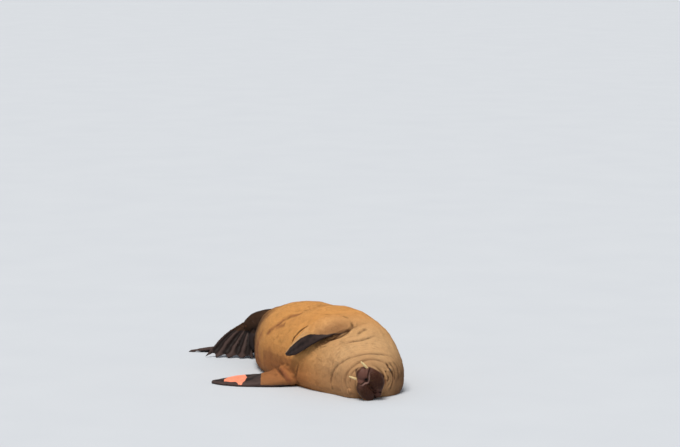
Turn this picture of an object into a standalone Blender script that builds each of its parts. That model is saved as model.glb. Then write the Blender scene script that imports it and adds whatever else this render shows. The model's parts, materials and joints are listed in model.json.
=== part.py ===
"""A young walrus resting on its back and left side, life size, as a still museum model.

Metres, +Z up. The floor is z = 0, the head points to -Y and the belly faces -X and up.
The body is modelled whole, as a trunk loft with limbs and face forms fused into it, and is
then parted into its named nodes by thin cuts. Left and right are the animal's own.
"""

import itertools
import math
import random

import bmesh
import bpy
import numpy as np
from mathutils import Matrix, Vector
from mathutils.bvhtree import BVHTree

GAP = 0.0003  # between pieces that touch
MERGE = 0.00003  # corners nearer than this are one
FLOOR_TRIM = 0.004  # how far the flat underside lies below the floor before it is trimmed
FUSE_VOXEL = 0.006
SMOOTH_STEPS = 14
BODY_TRIANGLES = 7600
# Thinning: a weight of 1 thins most. The face and the flippers keep more of their triangles.
FACE_WEIGHT = 0.72
FACE_REACH = 0.18  # how far from the mouth the face's weight holds
FACE_FADE = 0.50  # and the distance over which a weight of 1 would be gained
FLIPPER_WEIGHT = 0.8
LEFT_FORE_BEYOND = -0.20  # the left fore flipper lies beyond this x
HIND_BEYOND = 0.90  # the hind flippers lie beyond this y
WEIGHT_LEVELS = 20

# The body's line from the front of the skull to the tail. Each row is a section: x and y of
# its middle, half its width, and the heights of its underside, widest level and top.
TRUNK_STATIONS = (
    (0.155, -1.035, 0.090, 0.060, 0.150, 0.225),
    (0.185, -0.995, 0.168, 0.000, 0.150, 0.272),
    (0.212, -0.925, 0.235, -0.040, 0.155, 0.325),
    (0.223, -0.850, 0.267, -0.050, 0.160, 0.374),
    (0.223, -0.770, 0.290, -0.050, 0.170, 0.432),
    (0.215, -0.670, 0.325, -0.050, 0.180, 0.496),
    (0.200, -0.500, 0.366, -0.050, 0.190, 0.558),
    (0.190, -0.280, 0.384, -0.050, 0.195, 0.580),
    (0.190, 0.000, 0.388, -0.050, 0.195, 0.546),
    (0.180, 0.250, 0.388, -0.050, 0.190, 0.545),
    (0.170, 0.450, 0.338, -0.050, 0.185, 0.505),
    (0.158, 0.640, 0.258, -0.040, 0.175, 0.455),
    (0.152, 0.810, 0.168, -0.020, 0.170, 0.405),
    (0.145, 0.910, 0.112, 0.020, 0.165, 0.335),
    (0.140, 0.970, 0.052, 0.080, 0.160, 0.235),
)
TRUNK_RINGS = 120
TRUNK_AROUND = 72
UPPER_POWER = 2.05  # the section's upper half is close to an ellipse
LOWER_POWER = 3.6  # its lower half is squarer, as blubber spreads on a floor

# The head's own frame: from the mouth, which way is forward, to the chin and to its right.
MOUTH = Vector((0.085, -1.105, 0.135))
FORWARD = Vector((-0.345, -0.925, -0.162)).normalized()
CHINWARD = Vector((-0.646, 0.109, 0.756)).normalized()
RIGHTWARD = CHINWARD.cross(FORWARD).normalized()

# Rounded forms of the head: right, chinward and forward of the mouth, the three radii, and
# how far it leans in degrees, its nose end to the left.
RIGHT_PAD = ((0.050, -0.016, -0.035), (0.063, 0.102, 0.060), 10.0)
LEFT_PAD = ((-0.053, -0.030, -0.035), (0.060, 0.104, 0.060), 14.0)
NOSE = ((-0.010, -0.118, -0.062), (0.050, 0.036, 0.046), 6.0)
LOWER_LIP = ((0.0, 0.060, -0.042), (0.060, 0.062, 0.048), 6.0)
SKULL = ((0.0, -0.060, -0.180), (0.145, 0.130, 0.115), 0.0)
FIRST_ROLL = ((-0.010, -0.030, -0.205), (0.182, 0.176, 0.108), 0.0)
FORM_AROUND = 32
FORM_RINGS = 20

# Limbs. Each row: x, y, z, half width, half thickness, then the way the flat face looks.
LEFT_FORE_ARM = (
    (0.020, -0.260, 0.130, 0.150, 0.110, 0.0, 0.0, 1.0),
    (-0.120, -0.250, 0.090, 0.142, 0.088, 0.0, -0.1, 1.0),
    (-0.240, -0.235, 0.060, 0.124, 0.060, 0.0, -0.2, 1.0),
    (-0.350, -0.195, 0.042, 0.110, 0.040, 0.05, -0.25, 1.0),
    (-0.450, -0.135, 0.032, 0.112, 0.029, 0.05, -0.25, 1.0),
    (-0.550, -0.070, 0.025, 0.104, 0.022, 0.05, -0.22, 1.0),
    (-0.635, -0.010, 0.018, 0.070, 0.016, 0.05, -0.18, 1.0),
    (-0.692, 0.042, 0.012, 0.026, 0.012, 0.05, -0.10, 1.0),
)
RIGHT_FORE_ARM = (
    (0.320, -0.420, 0.340, 0.130, 0.070, -0.05, -0.30, 0.95),
    (0.210, -0.510, 0.450, 0.130, 0.060, -0.15, -0.40, 0.90),
    (0.090, -0.580, 0.500, 0.122, 0.042, -0.30, -0.42, 0.86),
    (-0.020, -0.590, 0.482, 0.114, 0.030, -0.52, -0.38, 0.77),
    (-0.111, -0.549, 0.431, 0.100, 0.026, -0.72, -0.28, 0.62),
    (-0.188, -0.473, 0.342, 0.070, 0.024, -0.90, -0.18, 0.40),
    (-0.230, -0.386, 0.276, 0.036, 0.019, -0.95, -0.14, 0.28),
    (-0.244, -0.335, 0.250, 0.015, 0.012, -0.97, -0.10, 0.20),
)
RIGHT_SHANK = (
    (0.160, 0.760, 0.292, 0.140, 0.125, 0.0, 0.0, 1.0),
    (0.088, 0.890, 0.292, 0.098, 0.098, 0.0, 0.0, 1.0),
    (0.040, 0.965, 0.275, 0.074, 0.076, 0.0, 0.0, 1.0),
    (0.004, 1.030, 0.245, 0.050, 0.050, 0.0, 0.0, 1.0),
)
LEFT_SHANK = (
    (0.165, 0.800, 0.120, 0.110, 0.090, 0.0, 0.0, 1.0),
    (0.120, 0.960, 0.092, 0.080, 0.066, 0.0, 0.0, 1.0),
    (0.060, 1.080, 0.068, 0.060, 0.048, 0.0, 0.0, 1.0),
    (0.010, 1.160, 0.052, 0.045, 0.034, 0.0, 0.0, 1.0),
)
TAIL = (
    (0.155, 0.880, 0.225, 0.060, 0.060, 0.0, 0.0, 1.0),
    (0.165, 0.980, 0.225, 0.044, 0.034, 0.0, 0.0, 1.0),
    (0.172, 1.050, 0.218, 0.032, 0.020, 0.0, 0.0, 1.0),
    (0.175, 1.095, 0.212, 0.014, 0.012, 0.0, 0.0, 1.0),
)
# Where a limb parts from the body: a place on its line, the way it runs there, and the sizes
# of the cut across it.
LIMB_CUTS = (
    ((-0.215, -0.240, 0.070), (-0.99, 0.10, -0.2), (0.40, 0.40)),
    ((0.040, 0.962, 0.278), (-0.52, 0.85, 0.0), (0.185, 0.19)),
    ((0.092, 1.015, 0.080), (-0.45, 0.85, -0.2), (0.22, 0.20)),
    ((0.167, 0.995, 0.224), (0.10, 0.95, -0.1), (0.12, 0.09)),
)
LIMB_PLACES = {
    "torso": (0.15, -0.20, 0.20),
    "left_fore_flipper": (-0.50, -0.10, 0.03),
    "right_hind_flipper": (-0.12, 1.00, 0.12),
    "left_hind_flipper": (-0.10, 1.35, 0.03),
    "tail": (0.155, 1.12, 0.15),
}

ARM_ROOM = 0.010  # how far the right fore flipper's cutter stands off the arm
ARM_BASE_RING = 9  # the ring of the arm where the flipper leaves the chest

# Where the body itself is parted: a place and the way that the front piece lies.
HEAD_CUT = (MOUTH + FORWARD * -0.250, FORWARD)
NECK_CUT = ((0.22, -0.700, 0.20), (-0.12, -1.0, 0.0))
CHEST_CUT = ((0.19, 0.060, 0.20), (0.0, -1.0, 0.0))
BELLY_CUT = ((0.16, 0.560, 0.20), (0.0, -1.0, 0.0))
FACE_CUT = (MOUTH + FORWARD * -0.070, FORWARD)

# The lower jaw is what lies within this rounded form of the face, so that the mouth follows
# the lip.
JAW_FORM = ((0.002, 0.112, -0.055), (0.053, 0.114, 0.085), 6.0)

# Tusks, from the root in the whisker pad to the tip: right, chinward, forward and radius.
RIGHT_TUSK = (
    (0.057, 0.035, -0.046, 0.0105),
    (0.060, 0.085, -0.036, 0.0100),
    (0.061, 0.125, -0.027, 0.0080),
    (0.0605, 0.154, -0.020, 0.0050),
)
LEFT_TUSK = (
    (-0.048, 0.030, -0.046, 0.0105),
    (-0.055, 0.072, -0.036, 0.0100),
    (-0.067, 0.102, -0.027, 0.0080),
    (-0.0755, 0.123, -0.020, 0.0050),
)
TUSK_TIP_REACH = 0.6  # how far the rounded tip stands out, as a share of the last radius
TUSK_TIP_WIDTH = 0.55
TUSK_RINGS = 7
TUSK_AROUND = 10

# Eyes. Each is set where a line from inside the head meets its surface.
EYES = {
    "right_eye": ((0.200, -0.900, 0.190), (0.087, -0.093, 0.012)),
    "left_eye": ((0.140, -0.915, 0.055), (-0.90, -0.25, 0.0)),
}
EYE_RADIUS = 0.0145
EYE_DEPTH = 0.0085  # how far the eyeball's middle lies below the skin
LID_RADII = (0.025, 0.018, 0.0085)
SLIT_RADII = (0.0125, 0.0034, 0.0110)
SLIT_HEIGHT = 0.0050
SMALL_FORM = (12, 8)  # segments and rings of the small cutters
SLIT_WAY = FORWARD * 0.6 + CHINWARD * 0.4  # the way the slit runs

# Nostrils, one each side of the middle, seen from the front.
NOSTRIL_PLACE = (0.020, -0.122)
NOSTRIL_RADII = (0.0045, 0.0110, 0.0120)
NOSTRIL_LEAN = 0.45
SEEN_FROM = 0.15  # how far in front of the mouth the face is looked at to place things on it

# Whiskers stand in rows on the pads, counted from the lowest row and from the middle line.
WHISKER_ROWS = 9
WHISKERS_IN_ROW = 8
WHISKER_LOW = -0.095
WHISKER_RISE = 0.0205
WHISKER_INNER = 0.020
WHISKER_STEP = 0.0122
WHISKER_STRAY = 0.003  # how far a whisker may stand from its place in the row
WHISKER_SPREAD = (0.10, 0.35)  # how much it leans outwards
WHISKER_DROP = (0.05, 0.35)  # and towards the chin
WHISKER_FACING = 0.35  # none stand where the pad turns further away from the front than this
WHISKER_LIFT = 0.8  # the turn upwards of those that would meet the floor
WHISKER_ROOT = 0.004  # how deep the root is sunk
WHISKER_BEND = 0.18
WHISKER_THICK = (0.0012, 0.0009, 0.0003)
WHISKER_LENGTHS = (0.026, 0.052)
WHISKER_FLOOR = 0.004  # whiskers stay above this height
WHISKER_CLEAR = 0.002  # and this far from the pieces around the muzzle
WHISKER_SEED = 11

SKIN_TAN = (0.36, 0.20, 0.085)
SKIN_PALE = (0.46, 0.29, 0.14)
SKIN_BROWN = (0.20, 0.115, 0.06)
SKIN_DARK = (0.055, 0.035, 0.028)
MUZZLE_MAROON = (0.085, 0.030, 0.022)
TUSK_IVORY = (0.72, 0.55, 0.24)
EYE_BLACK = (0.010, 0.007, 0.006)
# Each node's colour and roughness.
FINISHES = {
    "muzzle": (MUZZLE_MAROON, 0.55),
    "lower_jaw": (MUZZLE_MAROON, 0.50),
    "head": (SKIN_PALE, 0.70),
    "neck": (SKIN_PALE, 0.72),
    "chest": (SKIN_TAN, 0.72),
    "belly": (SKIN_TAN, 0.72),
    "hips": (SKIN_BROWN, 0.72),
    "tail": (SKIN_BROWN, 0.70),
    "left_fore_flipper": (SKIN_BROWN, 0.62),
    "right_fore_flipper": (SKIN_TAN, 0.66),
    "left_hind_flipper": (SKIN_DARK, 0.60),
    "right_hind_flipper": (SKIN_DARK, 0.60),
    "right_tusk": (TUSK_IVORY, 0.35),
    "left_tusk": (TUSK_IVORY, 0.35),
    "right_eye": (EYE_BLACK, 0.10),
    "left_eye": (EYE_BLACK, 0.10),
}

LIMB_STEPS = 40
LIMB_AROUND = 32

# Hind flippers. Each is a web over five digits, given by three points from heel to tip.
RIGHT_HIND_DIGITS = (
    ((0.000, 1.062, 0.280), (-0.155, 1.094, 0.190), (-0.338, 1.124, 0.002)),
    ((0.004, 1.040, 0.262), (-0.120, 1.050, 0.150), (-0.248, 1.055, 0.002)),
    ((0.006, 1.016, 0.240), (-0.082, 1.002, 0.125), (-0.168, 0.995, 0.002)),
    ((0.008, 0.996, 0.220), (-0.045, 0.955, 0.115), (-0.086, 0.936, 0.002)),
    ((0.012, 0.980, 0.205), (-0.012, 0.908, 0.110), (-0.012, 0.876, 0.002)),
)
LEFT_HIND_DIGITS = (
    ((-0.010, 1.130, 0.045), (-0.180, 1.280, 0.030), (-0.368, 1.420, 0.005)),
    ((0.000, 1.150, 0.045), (-0.115, 1.300, 0.024), (-0.235, 1.440, 0.005)),
    ((0.020, 1.160, 0.045), (-0.040, 1.310, 0.024), (-0.110, 1.450, 0.005)),
    ((0.045, 1.160, 0.045), (0.035, 1.310, 0.024), (0.015, 1.455, 0.005)),
    ((0.070, 1.150, 0.045), (0.110, 1.300, 0.024), (0.135, 1.460, 0.005)),
)
DIGIT_HALF = 0.013  # half the thickness at a digit
WEB_HALF = 0.0065  # half the thickness between digits
PLEAT_DEPTH = 0.020
SCALLOP = 0.10  # how far the web's edge lies back from the tips, as a share of its length
PLEAT_SPAN = 0.8  # the pleats are deepest where this share of a half wave peaks
HEEL_GROWTH = 1.15  # thickness at the heel, as a share of the digit's
WEB_TAPER = 0.35  # how much of it is lost towards the tips
WEB_STEPS_PER_DIGIT = 10
WEB_STEPS_ALONG = 30


def head_point(right, chinward, forward):
    """A point given in the head's own frame, in the part's frame."""
    return MOUTH + RIGHTWARD * right + CHINWARD * chinward + FORWARD * forward


def smooth_table(table, count, used=3):
    """Reads a smooth curve through a table's rows, evenly spaced by the first columns."""
    rows = np.array(table, float)
    steps = np.linalg.norm(np.diff(rows[:, :used], axis=0), axis=1)
    at = np.concatenate([[0.0], np.cumsum(steps)])
    slopes = np.gradient(rows, at, axis=0)
    wanted = np.linspace(0.0, at[-1], count)
    index = np.clip(np.searchsorted(at, wanted, side="right") - 1, 0, len(at) - 2)
    span = (at[index + 1] - at[index])[:, None]
    t = ((wanted - at[index])[:, None]) / span
    start, end = rows[index], rows[index + 1]
    lead, trail = slopes[index] * span, slopes[index + 1] * span
    return (
        start * (2 * t**3 - 3 * t**2 + 1)
        + lead * (t**3 - 2 * t**2 + t)
        + end * (3 * t**2 - 2 * t**3)
        + trail * (t**3 - t**2)
    )


def mesh_object(name, points, faces, collection):
    """Makes a mesh object from points and faces, with its normals pointing out."""
    mesh = bpy.data.meshes.new(name)
    mesh.from_pydata([tuple(p) for p in points], [], faces)
    work = bmesh.new()
    work.from_mesh(mesh)
    bmesh.ops.recalc_face_normals(work, faces=work.faces)
    work.to_mesh(mesh)
    work.free()
    made = bpy.data.objects.new(name, mesh)
    collection.objects.link(made)
    return made


def ring_loft(name, rings, collection):
    """A closed skin over rings of equally many points, with a point at the middle of each end."""
    count, around = len(rings), len(rings[0])
    points = [p for ring in rings for p in ring]
    points += [np.mean(rings[0], axis=0), np.mean(rings[-1], axis=0)]
    faces = []
    for i in range(count - 1):
        for j in range(around):
            k = (j + 1) % around
            faces.append((i * around + j, i * around + k, (i + 1) * around + k, (i + 1) * around + j))
    first, last = count * around, count * around + 1
    for j in range(around):
        k = (j + 1) % around
        faces.append((j, k, first))
        faces.append(((count - 1) * around + j, (count - 1) * around + k, last))
    return mesh_object(name, points, faces, collection)


def superellipse(around, power):
    """Unit points round a section between an ellipse and a rounded box."""
    turn = np.linspace(0, 2 * math.pi, around, endpoint=False)
    across, up = np.cos(turn), np.sin(turn)
    exponent = 2.0 / power
    return (
        np.sign(across) * np.abs(across) ** exponent,
        np.sign(up) * np.abs(up) ** exponent,
    )


def trunk(collection):
    """Head base, neck, chest, belly, hips and tail end as one loft along the body's line."""
    rows = smooth_table(TRUNK_STATIONS, TRUNK_RINGS, used=2)
    across_top, up = superellipse(TRUNK_AROUND, UPPER_POWER)
    across_low, down = superellipse(TRUNK_AROUND, LOWER_POWER)
    upper = up >= 0
    rings = []
    for x, y, half, bottom, level, top in rows:
        across = half * np.where(upper, across_top, across_low)
        height = level + np.where(upper, (top - level) * up, (level - bottom) * down)
        height = np.maximum(height, -FLOOR_TRIM)
        rings.append(np.stack([x + across, np.full_like(across, y), height], axis=1))
    return ring_loft("trunk", rings, collection)


def moved_to(made, collection):
    """Takes a new primitive out of the scene's collection and puts it in another."""
    for owner in list(made.users_collection):
        owner.objects.unlink(made)
    collection.objects.link(made)
    return made


def ellipsoid(name, middle, turn, radii, collection, around=16, rings=10):
    """A closed ellipsoid whose own axes are the columns of a turn."""
    bpy.ops.mesh.primitive_uv_sphere_add(segments=around, ring_count=rings, radius=1.0)
    made = bpy.context.object
    made.name = name
    made.data.transform(Matrix.Translation(middle) @ turn.to_4x4() @ Matrix.Diagonal((*radii, 1.0)))
    return moved_to(made, collection)


def head_form(name, form, collection, extra=0.0):
    """An ellipsoid placed and turned in the head's frame, grown a little on request."""
    place, radii, lean = form
    bend = math.radians(lean)
    chinward = CHINWARD * math.cos(bend) + RIGHTWARD * math.sin(bend)
    turn = Matrix((chinward.cross(FORWARD), chinward, FORWARD)).transposed()
    grown = [radius + extra for radius in radii]
    return ellipsoid(name, head_point(*place), turn, grown, collection, FORM_AROUND, FORM_RINGS)


def limb(name, table, collection, extra=0.0, first=0, early=0.0):
    """A flattened tube along a limb's line, as wide and as thick as its rows say."""
    rows = smooth_table(table, LIMB_STEPS)[first:]
    along = np.gradient(rows[:, :3], axis=0)
    along /= np.linalg.norm(along, axis=1)[:, None]
    rows[0, :3] -= along[0] * early
    rows[-1, :3] += along[-1] * extra
    turn = np.linspace(0, 2 * math.pi, LIMB_AROUND, endpoint=False)
    rings = []
    for row, way in zip(rows, along):
        face = row[5:8] - way * np.dot(row[5:8], way)
        face /= np.linalg.norm(face)
        side = np.cross(way, face)
        wide = np.outer(np.cos(turn), side) * (row[3] + extra)
        thick = np.outer(np.sin(turn), face) * (row[4] + extra)
        rings.append(row[:3] + wide + thick)
    return ring_loft(name, rings, collection)


def web(name, digits, collection):
    """A hind flipper: a pleated sheet over five digits, thick along each and thin between."""
    tips = [smooth_table(path, WEB_STEPS_ALONG) for path in digits]
    across = WEB_STEPS_PER_DIGIT * (len(digits) - 1) + 1
    rows = [np.array([tip[i] for tip in tips]) for i in range(WEB_STEPS_ALONG)]
    grid = np.stack([smooth_table(row, across) for row in rows])
    place = np.linspace(0, len(digits) - 1, across)
    between = np.sin(math.pi * place) ** 2
    share = np.linspace(0, 1, WEB_STEPS_ALONG)
    middle = np.empty_like(grid)
    for j in range(across):
        reach = share * (1.0 - SCALLOP * between[j])
        for axis in range(3):
            middle[:, j, axis] = np.interp(reach, share, grid[:, j, axis])
    normal = np.cross(np.gradient(middle, axis=0), np.gradient(middle, axis=1))
    normal /= np.linalg.norm(normal, axis=2)[:, :, None]
    half = WEB_HALF + (DIGIT_HALF - WEB_HALF) * (1.0 - between)[None, :]
    half = half * (HEEL_GROWTH - WEB_TAPER * share)[:, None]
    pleat = PLEAT_DEPTH * np.outer(np.sin(math.pi * share * PLEAT_SPAN), between)
    middle = middle - normal * pleat[:, :, None]
    front = middle + normal * half[:, :, None]
    back = middle - normal * half[:, :, None]
    points = np.concatenate([front.reshape(-1, 3), back.reshape(-1, 3)])
    count = WEB_STEPS_ALONG * across
    faces = []
    for i in range(WEB_STEPS_ALONG - 1):
        for j in range(across - 1):
            a = i * across + j
            faces.append((a, a + 1, a + across + 1, a + across))
            faces.append((count + a, count + a + across, count + a + across + 1, count + a + 1))
    rim = list(range(across))
    rim += [i * across + across - 1 for i in range(1, WEB_STEPS_ALONG)]
    rim += [(WEB_STEPS_ALONG - 1) * across + j for j in range(across - 2, -1, -1)]
    rim += [i * across for i in range(WEB_STEPS_ALONG - 2, 0, -1)]
    for a, b in zip(rim, rim[1:] + rim[:1]):
        faces.append((a, b, count + b, count + a))
    return mesh_object(name, points, faces, collection)


def evaluated_copy(made, name, collection):
    """A plain mesh object of what an object's modifiers make, which replaces the object."""
    graph = bpy.context.evaluated_depsgraph_get()
    mesh = bpy.data.meshes.new_from_object(made.evaluated_get(graph))
    bpy.data.objects.remove(made)
    fresh = bpy.data.objects.new(name, mesh)
    collection.objects.link(fresh)
    return fresh


def joined(name, pieces, collection):
    """One object with the meshes of several, which are removed."""
    work = bmesh.new()
    for piece in pieces:
        work.from_mesh(piece.data)
    mesh = bpy.data.meshes.new(name)
    work.to_mesh(mesh)
    work.free()
    for piece in pieces:
        bpy.data.objects.remove(piece)
    made = bpy.data.objects.new(name, mesh)
    collection.objects.link(made)
    return made


def fused_body(collection):
    """Trunk, head forms, arms, shanks and hind flippers as one smooth closed surface."""
    pieces = [trunk(collection)]
    for form in (RIGHT_PAD, LEFT_PAD, NOSE, LOWER_LIP, SKULL, FIRST_ROLL):
        pieces.append(head_form("form", form, collection))
    for table in (LEFT_FORE_ARM, RIGHT_FORE_ARM, RIGHT_SHANK, LEFT_SHANK, TAIL):
        pieces.append(limb("limb", table, collection))
    for digits in (RIGHT_HIND_DIGITS, LEFT_HIND_DIGITS):
        pieces.append(web("web", digits, collection))
    body = joined("body", pieces, collection)
    fuse = body.modifiers.new("fuse", "REMESH")
    fuse.mode = "VOXEL"
    fuse.voxel_size = FUSE_VOXEL
    soften = body.modifiers.new("soften", "SMOOTH")
    soften.iterations = SMOOTH_STEPS
    soften.factor = 0.5
    body = evaluated_copy(body, "body", collection)
    thin_out(body)
    return evaluated_copy(body, "body", collection)


def thin_out(body):
    """Adds a Decimate that keeps more triangles on the face and the flippers."""
    mesh = body.data
    places = np.empty(len(mesh.vertices) * 3)
    mesh.vertices.foreach_get("co", places)
    places = places.reshape(-1, 3)
    from_mouth = np.linalg.norm(places - np.array(MOUTH), axis=1)
    flipper = (places[:, 0] < LEFT_FORE_BEYOND) | (places[:, 1] > HIND_BEYOND)
    weight = np.clip(FACE_WEIGHT + (from_mouth - FACE_REACH) / FACE_FADE, FACE_WEIGHT, 1.0)
    weight = np.where(flipper, FLIPPER_WEIGHT, weight)
    group = body.vertex_groups.new(name="coarse")
    for level in range(1, WEIGHT_LEVELS + 1):
        chosen = np.nonzero(np.round(weight * WEIGHT_LEVELS) == level)[0]
        group.add([int(i) for i in chosen], level / WEIGHT_LEVELS, "REPLACE")
    thin = body.modifiers.new("thin", "DECIMATE")
    thin.vertex_group = "coarse"
    thin.use_collapse_triangulate = True
    mesh.calc_loop_triangles()
    thin.ratio = BODY_TRIANGLES / len(mesh.loop_triangles)


def sit_on_floor(body):
    """Trims all that lies below the floor, which leaves the flats that the animal rests on."""
    work = bmesh.new()
    work.from_mesh(body.data)
    whole = work.verts[:] + work.edges[:] + work.faces[:]
    down = (0, 0, -1)
    cut = bmesh.ops.bisect_plane(work, geom=whole, plane_co=(0, 0, 0), plane_no=down, clear_outer=True)
    rim = [item for item in cut["geom_cut"] if isinstance(item, bmesh.types.BMEdge)]
    bmesh.ops.holes_fill(work, edges=rim, sides=0)
    bmesh.ops.triangulate(work, faces=work.faces[:])
    bmesh.ops.dissolve_degenerate(work, dist=MERGE, edges=work.edges[:])
    work.to_mesh(body.data)
    work.free()


def boolean(body, others, operation, solver="EXACT"):
    """Joins to a body, or cuts from it, a list of closed objects, which are removed."""
    group = bpy.data.collections.new("tools")
    bpy.context.scene.collection.children.link(group)
    for other in others:
        group.objects.link(other)
    step = body.modifiers.new("boolean", "BOOLEAN")
    step.operation = operation
    step.solver = solver
    step.operand_type = "COLLECTION"
    step.collection = group
    graph = bpy.context.evaluated_depsgraph_get()
    mesh = bpy.data.meshes.new_from_object(body.evaluated_get(graph))
    body.modifiers.remove(step)
    body.data = mesh
    for other in others:
        bpy.data.objects.remove(other)
    bpy.data.collections.remove(group)


def slab(middle, normal, wide, collection):
    """A square sheet as thick as the gap between pieces, which parts a limb from the body."""
    bpy.ops.mesh.primitive_cube_add(size=1.0)
    made = bpy.context.object
    turn = Vector(normal).normalized().to_track_quat("Z", "Y").to_matrix().to_4x4()
    size = Matrix.Diagonal((wide[0], wide[1], GAP, 1.0))
    made.data.transform(Matrix.Translation(middle) @ turn @ size)
    return moved_to(made, collection)


def islands(work):
    """The closed surfaces of a mesh, as lists of faces, largest first."""
    left = set(work.faces)
    found = []
    while left:
        front = [left.pop()]
        island = list(front)
        while front:
            face = front.pop()
            for edge in face.edges:
                for other in edge.link_faces:
                    if other in left:
                        left.remove(other)
                        front.append(other)
                        island.append(other)
        found.append(island)
    return sorted(found, key=len, reverse=True)


def clean(work):
    """Merges stray corners, drops folded faces and keeps only the largest closed surface."""
    bmesh.ops.remove_doubles(work, verts=work.verts[:], dist=MERGE)
    bmesh.ops.dissolve_degenerate(work, dist=MERGE, edges=work.edges[:])
    bmesh.ops.triangulate(work, faces=work.faces[:])
    seen = {}
    for face in work.faces:
        seen.setdefault(frozenset(face.verts), []).append(face)
    folded = [face for faces in seen.values() if len(faces) > 1 for face in faces]
    bmesh.ops.delete(work, geom=folded, context="FACES")
    scraps = [face for island in islands(work)[1:] for face in island]
    bmesh.ops.delete(work, geom=scraps, context="FACES")
    loose = [vert for vert in work.verts if not vert.link_faces]
    bmesh.ops.delete(work, geom=loose, context="VERTS")


def cleaned(made):
    """Cleans an object's mesh in place."""
    work = bmesh.new()
    work.from_mesh(made.data)
    clean(work)
    work.to_mesh(made.data)
    work.free()
    return made


def part_islands(body, names, collection):
    """Splits a parted mesh into named objects, each the surface nearest its named place."""
    work = bmesh.new()
    work.from_mesh(body.data)
    work.faces.ensure_lookup_table()
    groups = [{face.index for face in group} for group in islands(work)]
    middles = []
    for group in groups:
        middles.append(sum((work.faces[i].calc_center_median() for i in group), Vector()) / len(group))
    work.free()
    made = []
    for name, place in names.items():
        nearest = min(range(len(groups)), key=lambda i: (middles[i] - Vector(place)).length)
        copy = bmesh.new()
        copy.from_mesh(body.data)
        others = [face for face in copy.faces if face.index not in groups[nearest]]
        bmesh.ops.delete(copy, geom=others, context="FACES")
        clean(copy)
        mesh = bpy.data.meshes.new(name)
        copy.to_mesh(mesh)
        copy.free()
        fresh = bpy.data.objects.new(name, mesh)
        collection.objects.link(fresh)
        made.append(fresh)
    bpy.data.objects.remove(body)
    return made


def halve(body, names, middle, normal, collection):
    """Cuts a body at a plane into two pieces, each half the gap from the plane."""
    made = []
    for name, sign in zip(names, (1.0, -1.0)):
        way = Vector(normal).normalized() * sign
        work = bmesh.new()
        work.from_mesh(body.data)
        whole = work.verts[:] + work.edges[:] + work.faces[:]
        at = Vector(middle) + way * (GAP / 2)
        cut = bmesh.ops.bisect_plane(work, geom=whole, plane_co=at, plane_no=way, clear_inner=True)
        rim = [item for item in cut["geom_cut"] if isinstance(item, bmesh.types.BMEdge)]
        bmesh.ops.holes_fill(work, edges=rim, sides=0)
        clean(work)
        mesh = bpy.data.meshes.new(name)
        work.to_mesh(mesh)
        work.free()
        fresh = bpy.data.objects.new(name, mesh)
        collection.objects.link(fresh)
        made.append(fresh)
    bpy.data.objects.remove(body)
    return made


def free_right_fore(body, collection):
    """Parts the right fore flipper from the chest, which keeps a shallow bed beneath it."""
    flipper = bpy.data.objects.new("right_fore_flipper", body.data.copy())
    collection.objects.link(flipper)
    inner = limb("inner", RIGHT_FORE_ARM, collection, ARM_ROOM, ARM_BASE_RING)
    boolean(flipper, [inner], "INTERSECT")
    outer = limb("outer", RIGHT_FORE_ARM, collection, ARM_ROOM + GAP, ARM_BASE_RING, GAP)
    boolean(body, [outer], "DIFFERENCE")
    return flipper


def part_jaw(face, collection):
    """Parts the lower jaw from the muzzle along the lip."""
    jaw = bpy.data.objects.new("lower_jaw", face.data.copy())
    collection.objects.link(jaw)
    boolean(jaw, [head_form("inner", JAW_FORM, collection, -GAP)], "INTERSECT")
    boolean(face, [head_form("outer", JAW_FORM, collection)], "DIFFERENCE")
    face.name = "muzzle"
    return cleaned(face), cleaned(jaw)


def surface_tree(made):
    """A tree for finding where a line meets an object's surface."""
    return BVHTree.FromObject(made, bpy.context.evaluated_depsgraph_get())


def frame_on(normal, along):
    """A turn whose third column is the surface's normal and whose first lies along a way."""
    first = (along - normal * along.dot(normal)).normalized()
    return Matrix((first, normal.cross(first), normal)).transposed()


def set_eye(name, head, origin, way, collection):
    """Raises lids round a slit on the head, hollows the socket and sets the eyeball in it."""
    place, normal = surface_tree(head).ray_cast(Vector(origin), Vector(way).normalized())[:2]
    if normal.dot(Vector(way)) < 0:
        normal = -normal
    turn = frame_on(normal, SLIT_WAY)
    middle = place - normal * EYE_DEPTH
    boolean(head, [ellipsoid("lids", place, turn, LID_RADII, collection)], "UNION")
    room = EYE_RADIUS + GAP
    socket = ellipsoid("socket", middle, turn, (room, room, room), collection)
    slit = ellipsoid("slit", place + normal * SLIT_HEIGHT, turn, SLIT_RADII, collection, *SMALL_FORM)
    boolean(head, [socket, slit], "DIFFERENCE")
    radii = (EYE_RADIUS, EYE_RADIUS, EYE_RADIUS)
    return ellipsoid(name, middle, turn, radii, collection)


def tusk(name, table, collection, extra=0.0):
    """A tapered, slightly bent tooth with a rounded tip."""
    rows = smooth_table(table, TUSK_RINGS)
    turn = np.linspace(0, 2 * math.pi, TUSK_AROUND, endpoint=False)
    rings = []
    for right, chinward, forward, radius in rows:
        middle = np.array(head_point(right, chinward, forward))
        side = np.outer(np.cos(turn), RIGHTWARD) + np.outer(np.sin(turn), FORWARD)
        rings.append(middle + side * (radius + extra))
    last = np.array(head_point(*rows[-1][:3]))
    tip = last + np.array(CHINWARD) * (rows[-1][3] * TUSK_TIP_REACH)
    rings.append(tip + (rings[-1] - last) * TUSK_TIP_WIDTH)
    return ring_loft(name, rings, collection)


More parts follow.
